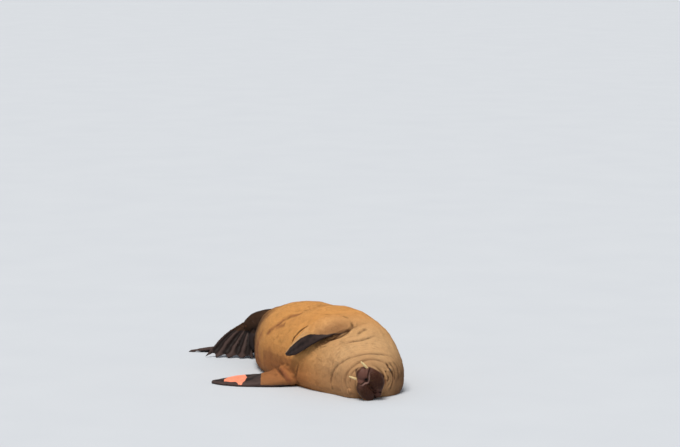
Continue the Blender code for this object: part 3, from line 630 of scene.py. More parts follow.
# Folds in the skin; where a fold has a dark line, that line is painted shade in the fold.
FOLDS = (
    # Two rings of folds round the throat, and a short one within them.
    Line(((-0.043, -0.776, 0.026), (-0.061, -0.764, 0.068), (-0.064, -0.767, 0.129),
          (-0.050, -0.807, 0.205), (-0.017, -0.850, 0.253), (0.028, -0.880, 0.287),
          (0.095, -0.911, 0.311), (0.176, -0.930, 0.316), (0.270, -0.930, 0.300),
          (0.360, -0.900, 0.250)), 0.006, 0.012, dark=0.25),
    Line(((-0.014, -0.934, 0.072), (-0.022, -0.921, 0.130), (-0.010, -0.938, 0.191),
          (0.029, -0.955, 0.239), (0.082, -0.966, 0.270), (0.165, -0.990, 0.286),
          (0.241, -1.002, 0.269), (0.287, -1.005, 0.234)), 0.007, 0.011, dark=0.30),
    Line(((0.000, -0.968, 0.120), (0.009, -0.974, 0.185), (0.049, -0.988, 0.227)), 0.003, 0.007,
         dark=0.25),
    # The armpit and the creases that run from it.
    Line(((-0.058, -0.645, 0.395), (0.005, -0.694, 0.405), (0.066, -0.715, 0.432),
          (0.108, -0.706, 0.459), (0.150, -0.672, 0.490), (0.165, -0.625, 0.517)), 0.010, 0.008,
         dark=0.7),
    Line(((0.026, -0.753, 0.375), (0.134, -0.799, 0.396), (0.205, -0.800, 0.408),
          (0.313, -0.770, 0.418)), 0.006, 0.010, dark=0.3, fade=0.3),
    Line(((0.140, -0.765, 0.440), (0.200, -0.735, 0.456), (0.260, -0.710, 0.462)), 0.006, 0.012,
         dark=0.35, fade=0.3),
    Line(((-0.160, -0.590, 0.330), (-0.100, -0.640, 0.345), (-0.040, -0.680, 0.352)), 0.004, 0.008,
         dark=0.3, fade=0.3),
    # The belly's shadowed crease beyond the right fore flipper's upper edge.
    Line(((-0.176, -0.281, 0.300), (-0.160, -0.283, 0.351), (-0.147, -0.298, 0.377),
          (-0.126, -0.319, 0.410), (-0.102, -0.345, 0.440), (-0.075, -0.378, 0.467)), 0.008, 0.0075,
         dark=1.0, bulge=0.0),
    # Long creases over the upper belly and the hip.
    Line(((0.020, -0.365, 0.536), (0.071, -0.439, 0.549), (0.142, -0.492, 0.555),
          (0.192, -0.513, 0.552)), 0.003, 0.014, dark=0.15, fade=0.3),
    Line(((-0.070, 0.380, 0.440), (-0.009, 0.352, 0.485), (0.035, 0.298, 0.513),
          (0.090, 0.240, 0.535)), 0.006, 0.012, dark=0.4, fade=0.3),
    Line(((-0.188, 0.186, 0.312), (-0.159, 0.138, 0.363), (-0.130, 0.092, 0.401),
          (-0.093, 0.068, 0.442), (-0.063, 0.023, 0.463), (-0.021, -0.075, 0.499)), 0.003, 0.020,
         dark=0.0, fade=0.3),
    # The left fore flipper's root.
    Line(((-0.193, -0.055, 0.104), (-0.246, -0.180, 0.122), (-0.262, -0.289, 0.103),
          (-0.256, -0.346, 0.068), (-0.231, -0.355, 0.029)), 0.008, 0.011, dark=0.65, fade=0.25),
    Line(((-0.160, -0.420, 0.190), (-0.190, -0.400, 0.130), (-0.205, -0.385, 0.070)), 0.004, 0.009,
         dark=0.4),
    # The crease between muzzle and cheek, the slit inside the cheek's ridge, and the ridge.
    Line(((0.150, -1.010, 0.247), (0.181, -1.024, 0.236), (0.205, -1.034, 0.216),
          (0.224, -1.049, 0.190), (0.235, -1.056, 0.150), (0.240, -1.053, 0.096),
          (0.205, -1.089, 0.040)), 0.007, 0.009, dark=0.55, fade=0.3),
    Line(((0.258, -1.032, 0.205), (0.268, -1.040, 0.178), (0.278, -1.037, 0.155),
          (0.263, -1.045, 0.120)), 0.018, 0.0105, dark=1.0, bulge=0.2, fade=0.10),
    Line(((0.272, -0.996, 0.262), (0.288, -1.010, 0.230), (0.304, -1.014, 0.196),
          (0.322, -1.004, 0.172), (0.330, -1.000, 0.128)), 0.010, 0.0090, dark=1.0, bulge=0.2, fade=0.15),
    Line(((0.328, -1.000, 0.150), (0.330, -1.000, 0.118), (0.318, -1.002, 0.080),
          (0.300, -1.006, 0.045)), 0.005, 0.0080, dark=0.5, fade=0.2),
    Line(((0.275, -1.022, 0.215), (0.290, -1.022, 0.185), (0.304, -1.016, 0.160),
          (0.306, -1.014, 0.124), (0.293, -1.020, 0.093), (0.277, -1.026, 0.070),
          (0.262, -1.020, 0.035)), -0.010, 0.0085, dark=0.0, bulge=0.0),
    # Wrinkles behind the eye and over the brow.
    Line(((0.300, -0.985, 0.262), (0.330, -0.985, 0.225), (0.350, -0.985, 0.170),
          (0.345, -0.990, 0.110)), 0.0045, 0.009, dark=0.45),
    Line(((0.340, -0.950, 0.250), (0.375, -0.945, 0.190), (0.380, -0.945, 0.110)), 0.004, 0.010,
         dark=0.3),
)
# Reddish streaks where the coat is rubbed thin.
STREAKS = (
    Line(((-0.077, 0.077, 0.456), (-0.050, 0.027, 0.473), (-0.021, -0.075, 0.499),
          (0.000, -0.120, 0.512)), 0.0, 0.030, 0.9),
    Line(((-0.190, 0.200, 0.300), (-0.188, 0.186, 0.312), (-0.159, 0.138, 0.363),
          (-0.130, 0.092, 0.401), (-0.093, 0.068, 0.442), (-0.063, 0.023, 0.463)), 0.0, 0.034, 0.9),
    Line(((-0.153, 0.095, 0.369), (-0.129, 0.039, 0.398), (-0.104, -0.015, 0.426)), 0.0, 0.030, 0.8),
    Line(((-0.155, 0.264, 0.366), (-0.180, 0.293, 0.307), (-0.189, 0.344, 0.232),
          (-0.190, 0.356, 0.162), (-0.194, 0.319, 0.100), (-0.193, 0.234, 0.057)), 0.0, 0.055, 0.9),
    Line(((-0.205, 0.120, 0.240), (-0.215, 0.060, 0.190), (-0.218, 0.040, 0.120)), 0.0, 0.040, 0.55),
    Line(((-0.246, -0.210, 0.122), (-0.250, -0.300, 0.100), (-0.244, -0.345, 0.078),
          (-0.198, -0.348, 0.020)), 0.0, 0.026, 0.9),
    Line(((-0.100, 0.420, 0.400), (-0.060, 0.420, 0.440), (-0.010, 0.400, 0.470)), 0.0, 0.034, 0.8),
    Line(((-0.033, 0.975, 0.262), (-0.033, 0.985, 0.245)), 0.0, 0.016, 0.8),
    Line(((0.246, -1.046, 0.150), (0.240, -1.050, 0.110), (0.225, -1.070, 0.075),
          (0.205, -1.086, 0.045)), 0.0, 0.016, 1.0, fade=0.1),
)


@dataclass(frozen=True)
class SkinFinish:
    """Short coat over skin, from ochre to cream and brown, with dark flippers and muzzle; painted shade
    darkens its folds, hollows, mouth and lower sides, and painted highlights lighten its ridges and the
    lip's rim.
    """

    ochre: Colour = (0.62, 0.305, 0.095)
    cream: Colour = (0.56, 0.345, 0.170)
    # Russet and umber are coat colours that also carry painted shade on the lower and far sides.
    russet: Colour = (0.40, 0.150, 0.050)
    umber: Colour = (0.180, 0.088, 0.040)
    # The legs' dark brown fur, also laid on the rear flank as painted shade.
    leg: Colour = (0.040, 0.018, 0.009)
    rubbed: Colour = (0.220, 0.070, 0.032)
    bare: Colour = (0.013, 0.0075, 0.0065)
    # The lighter colours on ridges are painted highlights on the bare skin and the muzzle.
    bare_ridge_highlight: Colour = (0.055, 0.033, 0.029)
    maroon: Colour = (0.034, 0.0090, 0.0042)
    maroon_ridge_highlight: Colour = (0.062, 0.020, 0.011)
    # The lower lip's colour, also laid on grey patches of the left pad and the nose, which are partly
    # painted highlights.
    lower_lip_and_highlight: Colour = (0.112, 0.046, 0.034)
    # The lip's pinkish rim, lightened as a painted wet highlight.
    lip_rim_and_sheen: Colour = (0.260, 0.150, 0.130)
    raw: Colour = (0.84, 0.27, 0.16)
    # Painted shade in the folds; the same colour marks the skin's own small dark spots.
    fold_shade_and_spots: Colour = (0.060, 0.023, 0.009)
    # Painted deep shade in the mouth, the nostrils, the groin's fold and over the right palm.
    deep_shade: Colour = (0.006, 0.003, 0.003)

    def build(self, name: str, is_tuft: bool = False) -> bpy.types.Material:
        """Makes the material.

        Args:
            name: Its name.
            is_tuft: Whether it is for the tufts, which have no relief of their own.

        Returns:
            The material.
        """
        made = Finish(name, Metallic=0.0, Specular_IOR_Level=0.18)
        broad = made.noise(3.4, 2.0)
        middle = made.noise(11.0, 4.0, rough=0.6)
        fine = made.noise(46.0, 4.0, rough=0.65)
        hollow_shade = made.attribute("hollow_shade")
        coat = self._fur(made, broad, middle, fine)
        # Painted shade in hollows and a painted highlight on ridges.
        coat = made.shade(coat, 1.0 - hollow_shade.clamp() * 0.45 + (-hollow_shade).clamp() * 0.10)
        # Painted shade along the folds, the lids' edges and the flipper's outline.
        coat = made.mix(made.attribute("fold_shade_and_spots"), coat, self.fold_shade_and_spots)
        ragged = (fine - 0.5) * 0.016 + (middle - 0.5) * 0.014
        # Painted highlight on the ridges of the bare skin and the muzzle.
        ridge_highlight = ((-hollow_shade) * 1.4 + (fine - 0.5) * 0.9 + 0.15).clamp()
        dark = (made.attribute("dark") + ragged).rise(-0.003, 0.004)
        coat = made.mix(dark, coat, made.mix(ridge_highlight, self.bare, self.bare_ridge_highlight))
        raw = (made.attribute("raw") + ragged * 0.8).rise(-0.001, 0.002)
        sore = made.vector("SCALE", self.raw, middle * 0.7 + fine * 0.7 + 0.28)
        coat = made.mix(raw, coat, sore)
        muzzle = (made.attribute("muzzle") + ragged * 0.5).rise(-0.005, 0.005)
        coat = made.mix(muzzle, coat, made.mix(ridge_highlight * 0.8, self.maroon, self.maroon_ridge_highlight))
        # The lower lip's colour, and grey patches that are partly painted highlights.
        coat = made.mix(made.attribute("lower_lip_and_highlight") * (0.5 + fine), coat, self.lower_lip_and_highlight)
        # The lip's pinkish rim, lightened as a painted wet highlight.
        coat = made.mix(made.attribute("lip_rim_and_sheen") * (0.6 + fine * 0.6), coat, self.lip_rim_and_sheen)
        # Painted deep shade in the mouth, the nostrils, the groin's fold and over the right palm.
        coat = made.mix(made.attribute("deep_shade"), coat, self.deep_shade)
        if is_tuft:
            coat = made.shade(coat, made.attribute("tone"))
        made.set("Base Color", coat)
        bald = dark.math("MAXIMUM", muzzle)
        made.set("Roughness", 0.82 - bald * 0.24 + (fine - 0.5) * 0.2)
        if not is_tuft:
            made.set("Normal", self._relief(made, bald))
        return made.material

    def _fur(self, made: Finish, broad: Socket, middle: Socket, fine: Socket) -> Socket:
        """The coat's colours, some of them laid on as painted shade, and their unevenness."""
        uneven = (broad - 0.5) * 0.45 + (middle - 0.5) * 0.25
        coat = made.mix(made.attribute("pale"), self.ochre, self.cream)
        coat = made.mix((made.attribute("russet") + uneven).clamp() * 0.95, coat, self.russet)
        coat = made.mix((made.attribute("umber") + uneven * 0.6).clamp(), coat, self.umber)
        coat = made.mix((made.attribute("leg") + uneven * 0.4).clamp(), coat, self.leg)
        streaky = made.noise(9.0, 4.0, place=made.vector("MULTIPLY", made.place, (1.0, 0.45, 1.6)))
        rubbed = (made.attribute("patch") * (0.25 + streaky * 1.2)).rise(0.02, 1.25)
        coat = made.mix(rubbed * 0.90, coat, self.rubbed)
        spots = 1.0 - made.cells(4.2).rise(0.010, 0.022)
        coat = made.mix(spots * 0.6, coat, self.fold_shade_and_spots)
        return made.shade(coat, (broad - 0.5) * 0.22 + (middle - 0.5) * 0.16 + (fine - 0.5) * 0.22 + 1.0)

    @staticmethod
    def _relief(made: Finish, bald: Socket) -> Socket:
        """Fine wrinkles, pores and the lie of the short coat."""
        along = made.vector("MULTIPLY", made.place, (1.0, 0.22, 1.0))
        hairs = made.noise(420.0, 2.0, place=along)
        wrinkles = made.cells(24.0, place=made.vector("MULTIPLY", made.place, (1.0, 1.7, 1.0)))
        grain = made.cells(170.0)
        soft = made.bump(wrinkles, 0.003, 0.35)
        lie = made.bump(hairs * (1.0 - bald), 0.0014, 0.5, soft)
        return made.bump(grain * bald, 0.0010, 0.6, lie)


class Links:
    """Which corners of a mesh an edge joins."""

    def __init__(self, mesh: bpy.types.Mesh) -> None:
        """Reads the mesh's edges."""
        self.size = len(mesh.vertices)
        flat = np.empty(len(mesh.edges) * 2, np.int32)
        mesh.edges.foreach_get("vertices", flat)
        self.first, self.second = flat.reshape(-1, 2).T
        count = np.bincount(self.first, minlength=self.size) + np.bincount(self.second, minlength=self.size)
        self.count = np.maximum(count, 1)

    def mean(self, rows: np.ndarray) -> np.ndarray:
        """The mean of the neighbours' rows."""
        total = np.empty_like(rows)
        for axis in range(rows.shape[1]):
            column = rows[:, axis]
            total[:, axis] = (np.bincount(self.first, column[self.second], self.size)
                              + np.bincount(self.second, column[self.first], self.size))
        return total / self.count[:, None]


@dataclass(frozen=True)
class Muzzle:
    """The face's front, in the head's own frame: right of the mouth, and towards the chin."""

    mouth: tuple[Row, ...] = (
        (-0.060, 0.044), (-0.046, 0.030), (-0.018, 0.026), (-0.001, 0.013), (0.018, 0.030),
        (0.036, 0.050), (0.062, 0.071), (0.084, 0.078),
    )
    lip_rim_and_sheen: tuple[Row, ...] = (
        (-0.064, 0.036), (-0.047, 0.021), (-0.018, 0.017), (-0.001, 0.003), (0.022, 0.021),
        (0.041, 0.042), (0.065, 0.062),
    )
    groove: tuple[Row, ...] = (
        (-0.002, 0.002), (-0.011, -0.018), (-0.010, -0.044), (-0.013, -0.084), (-0.014, -0.106),
    )
    hole: Row = (0.003, 0.029)
    nostrils: tuple[Row, ...] = ((0.016, -0.121, 0.45), (-0.034, -0.121, -0.45))
    nostril_radii: Row = (0.0040, 0.0115)
    middle: Row = (0.0, -0.014)
    radii: Row = (0.116, 0.134)
    behind: float = 0.112  # how far behind the mouth the bare skin reaches
    behind_left: float = 1.0  # how much less it reaches on the left, for each metre from the middle
    narrow: float = 0.9  # how much narrower it gets on the left to the chin, on the right to the nose

    def relief(self, own: np.ndarray) -> np.ndarray:
        """How far the muzzle's forms move the skin outwards."""
        right, chin, ahead = self._split(own)
        front = ease(ahead, -0.105, -0.080)
        flat = np.column_stack([right, chin])
        move = -0.0070 * self._along(flat, self.mouth, 0.0042)
        move += 0.0028 * self._along(flat, self.lip_rim_and_sheen, 0.0050)
        move -= 0.0070 * self._along(flat, self.groove, 0.0065)
        move -= 0.0130 * bump_at(np.linalg.norm(flat - np.array(self.hole), axis=1), 0.0100)
        move += 0.0035 * bump_at(np.hypot(right * 0.8, chin - 0.062), 0.026)
        move -= 0.0085 * self.nostril(right, chin)
        pads = ease(self.inset(own), 0.004, 0.020) * (1.0 - ease(chin, 0.010, 0.030))
        rows = np.cos(right * 2 * math.pi / 0.0125) * np.cos(chin * 2 * math.pi / 0.0135)
        return front * (move + 0.0009 * pads * rows)

    def inset(self, own: np.ndarray) -> np.ndarray:
        """Signed distance into the bare skin of the muzzle."""
        right, chin, ahead = self._split(own)
        wide = self.radii[0] - self.narrow * np.where(
            right < 0.0, np.clip(chin, 0.0, 0.06), 1.4 * np.clip(-0.072 - chin, 0.0, 0.06))
        flat = np.hypot((right - self.middle[0]) / wide, (chin - self.middle[1]) / self.radii[1])
        behind = self.behind + self.behind_left * np.minimum(right + 0.030, 0.0)
        return np.minimum((1.0 - flat) * self.radii[0], ahead + behind)

    def nostril(self, right: np.ndarray, chin: np.ndarray) -> np.ndarray:
        """Strength of the nostrils' slits."""
        found = np.zeros(len(right))
        for across, down, lean in self.nostrils:
            x = (right - across) * math.cos(lean) + (chin - down) * math.sin(lean)
            y = (chin - down) * math.cos(lean) - (right - across) * math.sin(lean)
            x = x - 9.0 * y * y * math.copysign(1.0, lean)
            shape = np.hypot(x / self.nostril_radii[0], y / self.nostril_radii[1])
            found = np.maximum(found, bump_at(shape, 1.0))
        return found

    def whiskers(self, own: np.ndarray, normals: np.ndarray) -> np.ndarray:
        """How densely the bristles stand: on both pads, where they face forwards."""
        right, chin, ahead = self._split(own)
        pad = np.zeros(len(own))
        for across in (0.056, -0.056):
            shape = np.hypot((right - across) / 0.050, (chin + 0.020) / 0.082)
            pad = np.maximum(pad, 1.0 - ease(shape, 0.85, 1.0))
        return pad * (normals @ FORWARD > 0.10) * (ahead > -0.075) * (own[:, 2] > 0.040)

    def marks(self, own: np.ndarray) -> dict[str, np.ndarray]:
        """The markings of the muzzle, with painted shade in the mouth and nostrils and painted highlights
        on the lip's rim and, in part, on grey patches.
        """
        right, chin, ahead = self._split(own)
        flat = np.column_stack([right, chin])
        front = ease(ahead, -0.100, -0.080)
        lower = inside_outline(flat, (*self.mouth, (0.040, 0.118), (-0.010, 0.105), (-0.052, 0.075)))
        # Grey patches on the left pad's upper edge and over the nose, partly painted highlights.
        grey_patch_and_highlight = np.maximum(bump_at(np.hypot(right + 0.068, chin - 0.018), 0.020),
                          bump_at(np.hypot(right - 0.002, chin + 0.105), 0.028))
        # Painted shade in the line of the mouth, in the nostrils and in the hole of the mouth.
        deep_shade = np.maximum(self._along(flat, self.mouth, 0.0030) * 0.8, self.nostril(right, chin) * 1.2)
        deep_shade = np.maximum(deep_shade, bump_at(np.linalg.norm(flat - np.array(self.hole), axis=1), 0.0115) * 1.3)
        return {
            "muzzle": self.inset(own),
            "lower_lip_and_highlight": front * np.maximum(ease(lower, 0.0, 0.006), grey_patch_and_highlight * 0.8),
            "lip_rim_and_sheen": front * self._along(flat, self.lip_rim_and_sheen, 0.0048, 0.25),
            "deep_shade": front * np.clip(deep_shade, 0.0, 1.0),
        }

    @staticmethod
    def _split(own: np.ndarray) -> tuple[np.ndarray, np.ndarray, np.ndarray]:
        """Right, chinward and forward distances from the mouth."""
        head = own - MOUTH
        return head @ RIGHTWARD, head @ CHINWARD, head @ FORWARD

    @staticmethod
    def _along(flat: np.ndarray, line: tuple[Row, ...], width: float, fade: float = 0.06) -> np.ndarray:
        """A bell along a flat line, which fades at both ends."""
        far, share = line_distance(flat, smooth_rows(line, 40))
        return bump_at(far, width) * np.clip(np.minimum(share, 1.0 - share) / fade, 0.0, 1.0)


@dataclass(frozen=True)
class Lids:
    """The lids over one eyeball, with a slit between them."""

    node: str
    slit: np.ndarray  # the way that the slit runs
    radius: float = 0.0145
    cover: float = 0.0012  # how far the lids lie over the ball
    half_long: float = 0.0125
    half_open: float = 0.0042
    reach: float = 0.048
    dark: float = 1.0  # how dark the painted shade at the lids' edges is

    @property
    def middle(self) -> np.ndarray:
        """The eyeball's middle in the body's own frame."""
        low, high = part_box(self.node)
        return np.array((low + high) / 2) - SHIFT

    def shape(self, own: np.ndarray, outward: np.ndarray) -> tuple[np.ndarray, np.ndarray, np.ndarray]:
        """Distance from the ball's middle, place in the slit's ellipse, and height over the middle."""
        slit = self.slit - outward * float(self.slit @ outward)
        slit /= np.linalg.norm(slit)
        offset = own - self.middle
        along, across = offset @ slit, offset @ np.cross(outward, slit)
        across = across - 9.0 * (along ** 2 - self.half_long ** 2 / 2)
        return (np.linalg.norm(offset, axis=1),
                np.hypot(along / self.half_long, across / self.half_open), offset @ outward)

    def close(self, own: np.ndarray, outward: np.ndarray) -> np.ndarray:
        """Draws the skin over the ball and opens the slit in it.

        Args:
            own: The skin's corners in the body's own frame.
            outward: The way that the eye looks.

        Returns:
            Their new places.
        """
        far, ellipse, height = self.shape(own, outward)
        near = (far < self.reach) & (height > 0.0)
        way = (own - self.middle) / np.maximum(far, 1e-9)[:, None]
        lid = np.maximum(far, self.radius + self.cover)
        lid = lid + 0.0016 * bump_at(ellipse - 1.45, 0.30) - 0.0020 * bump_at(ellipse - 2.5, 0.30)
        open_share = 1.0 - ease(ellipse, 0.80, 1.10)
        wanted = lid * (1.0 - open_share) + (self.radius - 0.0040) * open_share
        blend = 1.0 - ease(far, 0.030, self.reach)
        wanted = far * (1.0 - blend) + wanted * blend
        return np.where(near[:, None], self.middle + way * wanted[:, None], own)

    def mark(self, own: np.ndarray, outward: np.ndarray) -> np.ndarray:
        """How dark the painted shade is at the lids' edges and in the fold over them."""
        far, ellipse, height = self.shape(own, outward)
        near = (far < self.reach) & (height > 0.0)
        edge, fold = 1.0 - ease(ellipse, 1.1, 1.6), 0.5 * bump_at(ellipse - 2.5, 0.35)
        return near * self.dark * np.maximum(edge, fold)


EYELIDS = (
    Lids("right_eye", CHINWARD * -0.97 + RIGHTWARD * -0.22),
    Lids("left_eye", CHINWARD * -0.97 + RIGHTWARD * 0.22, half_open=0.0018, dark=0.45),
)


@dataclass
class Skin:
    """One skin over all the flesh."""

    voxel: float = 0.005
    overlap: float = 0.0006  # the nodes are grown by this, so that their gaps close
    depth: float = 0.0012  # how far the skin lies inside the nodes, the coat's depth
    body_steps: int = 90
    fine_steps: int = 8
    triangles: int = 194000
    # Rounded forms of the muzzle: right, chinward and forward of the mouth, radii, lean.
    forms: tuple[tuple[Row, Row, float], ...] = (
        ((0.050, -0.016, -0.035), (0.063, 0.102, 0.060), 10.0),
        ((-0.053, -0.030, -0.035), (0.060, 0.104, 0.060), 14.0),
        ((-0.010, -0.118, -0.062), (0.050, 0.036, 0.046), 6.0),
        ((0.006, 0.060, -0.042), (0.053, 0.062, 0.048), 6.0),
    )
    # The fold of loose skin between the belly and the right hind flipper: its middle and radii.
    groin: tuple[Row, Row] = ((0.006, 0.900, 0.150), (0.040, 0.050, 0.085))

    def build(self) -> bpy.types.Object:
        """Makes the skin.

        Returns:
            The finished piece.
        """
        base = self._fused(self._gather())
        self._soften(base)
        self._refine(base)
        self._sculpt(base)
        self._thin(base)
        Markings().mark(base)
        return finished(base, SkinFinish().build("walrus_coat"), "chest", *[part.value for part in Part])

    def _gather(self) -> bpy.types.Object:
        """Joins grown copies of the nodes with the muzzle's forms and plugs for the sockets."""
        work = bmesh.new()
        for part in Part:
            if part in (Part.MUZZLE, Part.JAW):
                continue
            one = bmesh.new()
            one.from_mesh(frame["nodes"][part.value].data)
            bmesh.ops.remove_doubles(one, verts=one.verts[:], dist=0.00002)
            one.normal_update()
            for vert in one.verts:
                vert.co += vert.normal * self.overlap
            self._pour(one, work)
        for place, radii, lean in self.forms:
            self._add_ball(work, head_point(*place), radii, lean)
        self._add_ball(work, np.array(self.groin[0]) + SHIFT, self.groin[1], 0.0, turned=False)
        for lids in EYELIDS:
            radius = lids.radius + lids.cover
            self._add_ball(work, lids.middle + SHIFT, (radius, radius, radius), 0.0)
        return worked_piece("skin", work)

    @staticmethod
    def _pour(source: bmesh.types.BMesh, target: bmesh.types.BMesh) -> None:
        """Adds one bmesh to another."""
        mesh = bpy.data.meshes.new("pour")
        source.to_mesh(mesh)
        source.free()
        target.from_mesh(mesh)
        bpy.data.meshes.remove(mesh)

    @staticmethod
    def _add_ball(work: bmesh.types.BMesh, middle: np.ndarray, radii: Row, lean: float,
                  turned: bool = True) -> None:
        """Adds an ellipsoid, turned as the head is or level."""
        bend = math.radians(lean)
        chin = Vector(CHINWARD * math.cos(bend) + RIGHTWARD * math.sin(bend))
        forward = Vector(FORWARD)
        turn = Matrix((chin.cross(forward), chin, forward)).transposed().to_4x4()
        turn = turn if turned else Matrix.Identity(4)
        place = Matrix.Translation(Vector(middle)) @ turn @ Matrix.Diagonal((*radii, 1.0))
        bmesh.ops.create_uvsphere(work, u_segments=64, v_segments=40, radius=1.0, matrix=place)

    def _fused(self, base: bpy.types.Object) -> bpy.types.Object:
        """Fuses the copies into one closed skin and keeps its largest island."""
        fuse = base.modifiers.new("fuse", "REMESH")
        fuse.mode = "VOXEL"
        fuse.voxel_size = self.voxel
        with_modifiers(base)
        links = Links(base.data)
        label = np.arange(links.size)
        changed = True
        while changed:
            low = np.minimum(label[links.first], label[links.second])
            before = label.copy()
            np.minimum.at(label, links.first, low)
            np.minimum.at(label, links.second, low)
            label = label[label]
            changed = bool((label != before).any())
        keep = np.bincount(label).argmax()
        if (label != keep).any():
            work = bmesh.new()
            work.from_mesh(base.data)
            work.verts.ensure_lookup_table()
            lost = [work.verts[index] for index in np.nonzero(label != keep)[0]]
            bmesh.ops.delete(work, geom=lost, context="VERTS")
            work.to_mesh(base.data)
            work.free()
        return base

    @staticmethod
    def _near_limbs(places: np.ndarray) -> np.ndarray:
        """Distance of each place to the flippers and the tail, up to a reach."""
        reach = 0.06
        found = np.full(len(places), reach)
        for node in (Part.RIGHT_FORE, Part.LEFT_FORE, Part.RIGHT_HIND, Part.LEFT_HIND, Part.TAIL):
            mesh = frame["nodes"][node.value].data
            mesh.calc_loop_triangles()
            triangles = [tuple(triangle.vertices) for triangle in mesh.loop_triangles]
            tree = BVHTree.FromPolygons([tuple(vert.co) for vert in mesh.vertices], triangles)
            low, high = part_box(node.value)
            near = np.all((places > np.array(low) - reach) & (places < np.array(high) + reach), axis=1)
            for index in np.nonzero(near)[0]:
                far = tree.find_nearest(Vector(places[index]), reach)[3]
                if far is not None:
                    found[index] = min(found[index], far)
        return found

    def _soften(self, base: bpy.types.Object) -> None:
        """Smooths the facets away, most on the trunk and least on the flippers and face."""
        places = places_of(base.data)
        links = Links(base.data)
        own = places - SHIFT - MOUTH
        face = ease(own @ FORWARD, -0.20, -0.10)
        limb = 1.0 - ease(self._near_limbs(places), 0.004, 0.05)
        weight = np.clip(1.0 - np.maximum(face, limb), 0.0, 1.0)
        floor = places[:, 2] < self.voxel * 0.9
        for step in range(self.body_steps):
            share = np.ones(len(places)) if step < self.fine_steps else weight
            for pull in (0.55, -0.57):
                places = places + (links.mean(places) - places) * (share * pull)[:, None]
        places[floor, 2] = 0.0
        place_all(base.data, places)

    def _refine(self, base: bpy.types.Object) -> None:
        """Halves the edges on the head and the flipper's outline, and again on muzzle and eyes."""
        for level in range(2):
            work = bmesh.new()
            work.from_mesh(base.data)
            own = np.array([vert.co for vert in work.verts]) - SHIFT
            head = own - MOUTH
            ahead = head @ FORWARD
            aside = np.linalg.norm(head - np.outer(ahead, FORWARD), axis=1)
            if level == 0:
                arm = RIGHT_ARM.measure(own)
                edge = arm["near"] & (arm["share"] > RIGHT_ARM.start) & (np.abs(arm["inset"]) < 0.022)
                chosen = ((ahead > -0.21) & (aside < 0.26)) | (edge & (arm["lift"] > -0.06))
            else:
                chosen = (ahead > -0.095) & (aside < 0.19)
                for lids in EYELIDS:
                    chosen |= np.linalg.norm(own - lids.middle, axis=1) < lids.reach
            chosen &= own[:, 2] > 0.003
            edges = [edge for edge in work.edges
                     if chosen[edge.verts[0].index] and chosen[edge.verts[1].index]]
            bmesh.ops.subdivide_edges(work, edges=edges, cuts=1, use_grid_fill=True, smooth=0.0)
            bmesh.ops.triangulate(work, faces=[face for face in work.faces if len(face.verts) > 4])
            work.to_mesh(base.data)
            work.free()

    def _sculpt(self, base: bpy.types.Object) -> None:
        """Moves the skin in by the coat's depth and gives it its folds and the face's forms."""
        places = places_of(base.data)
        normals = normals_of(base.data)
        own = places - SHIFT
        floor = places[:, 2] < 0.003
        move = np.full(len(own), -self.depth) + self._swells(own) + self._arm_edges(own)
        tree = tree_of(base.data, own)
        for line in FOLDS:
            move += line.laid(tree).relief(own)
        move += Muzzle().relief(own)
        own = own + normals * move[:, None]
        for lids in EYELIDS:
            own = lids.close(own, eye_outward(lids, own, normals))
        places = own + SHIFT
        places[:, 2] = np.where(floor, 0.0, np.maximum(places[:, 2], 0.0))
        place_all(base.data, places)

    @staticmethod
    def _swells(own: np.ndarray) -> np.ndarray:
        """Slow swells of the blubber, and fine rings of wrinkles round the neck."""
        face = ease(-own[:, 1], 0.96, 1.02)
        slow = 0.0016 * ripples(own, 0.16, 5) + 0.0007 * ripples(own, 0.055, 6)
        rings = np.linalg.norm(own - MOUTH, axis=1) + 0.010 * ripples(own, 0.20, 7)
        neck = ease(-own[:, 1], 0.60, 0.78) * (1.0 - face)
        return (slow + 0.0007 * neck * np.sin(rings * 2 * math.pi / 0.026)) * (1.0 - face)

    @staticmethod
    def _arm_edges(own: np.ndarray) -> np.ndarray:
        """A groove round the flipper on the chest, and soft ridges over the flippers' digits."""
        move = np.zeros(len(own))
        for arm, groove in ((RIGHT_ARM, 0.013), (LEFT_ARM, 0.0)):
            found = arm.measure(own)
            clear = ease(found["share"], arm.start, arm.start + 0.2) * found["near"]
            beside = bump_at(found["inset"] + 0.006, 0.007) * (np.abs(found["lift"]) < 0.06) \
                * (found["across"] > 0.0)
            digits = np.cos(found["across"] / found["half"] * 2 * math.pi * 1.25)
            top = ease(found["inset"], 0.004, 0.020) * (found["lift"] > 0.0)
            move += clear * (-groove * beside + 0.0016 * digits * top * ease(found["share"], 0.5, 0.75))
        return move

    def _thin(self, base: bpy.types.Object) -> None:
        """Brings the skin under its number of triangles."""
        base.modifiers.new("triangles", "TRIANGULATE")
        count = sum(len(face.vertices) - 2 for face in base.data.polygons)
        LOG.info("skin before thinning: %d triangles", count)
        thin = base.modifiers.new("thin", "DECIMATE")
        thin.ratio = min(1.0, self.triangles / count)
        with_modifiers(base)


def eye_outward(lids: Lids, own: np.ndarray, normals: np.ndarray) -> np.ndarray:
    """The way that an eye looks: the mean of the skin's normals over it."""
    near = np.linalg.norm(own - lids.middle, axis=1) < lids.radius * 2
    outward = normals[near].sum(axis=0)
    return outward / np.linalg.norm(outward)


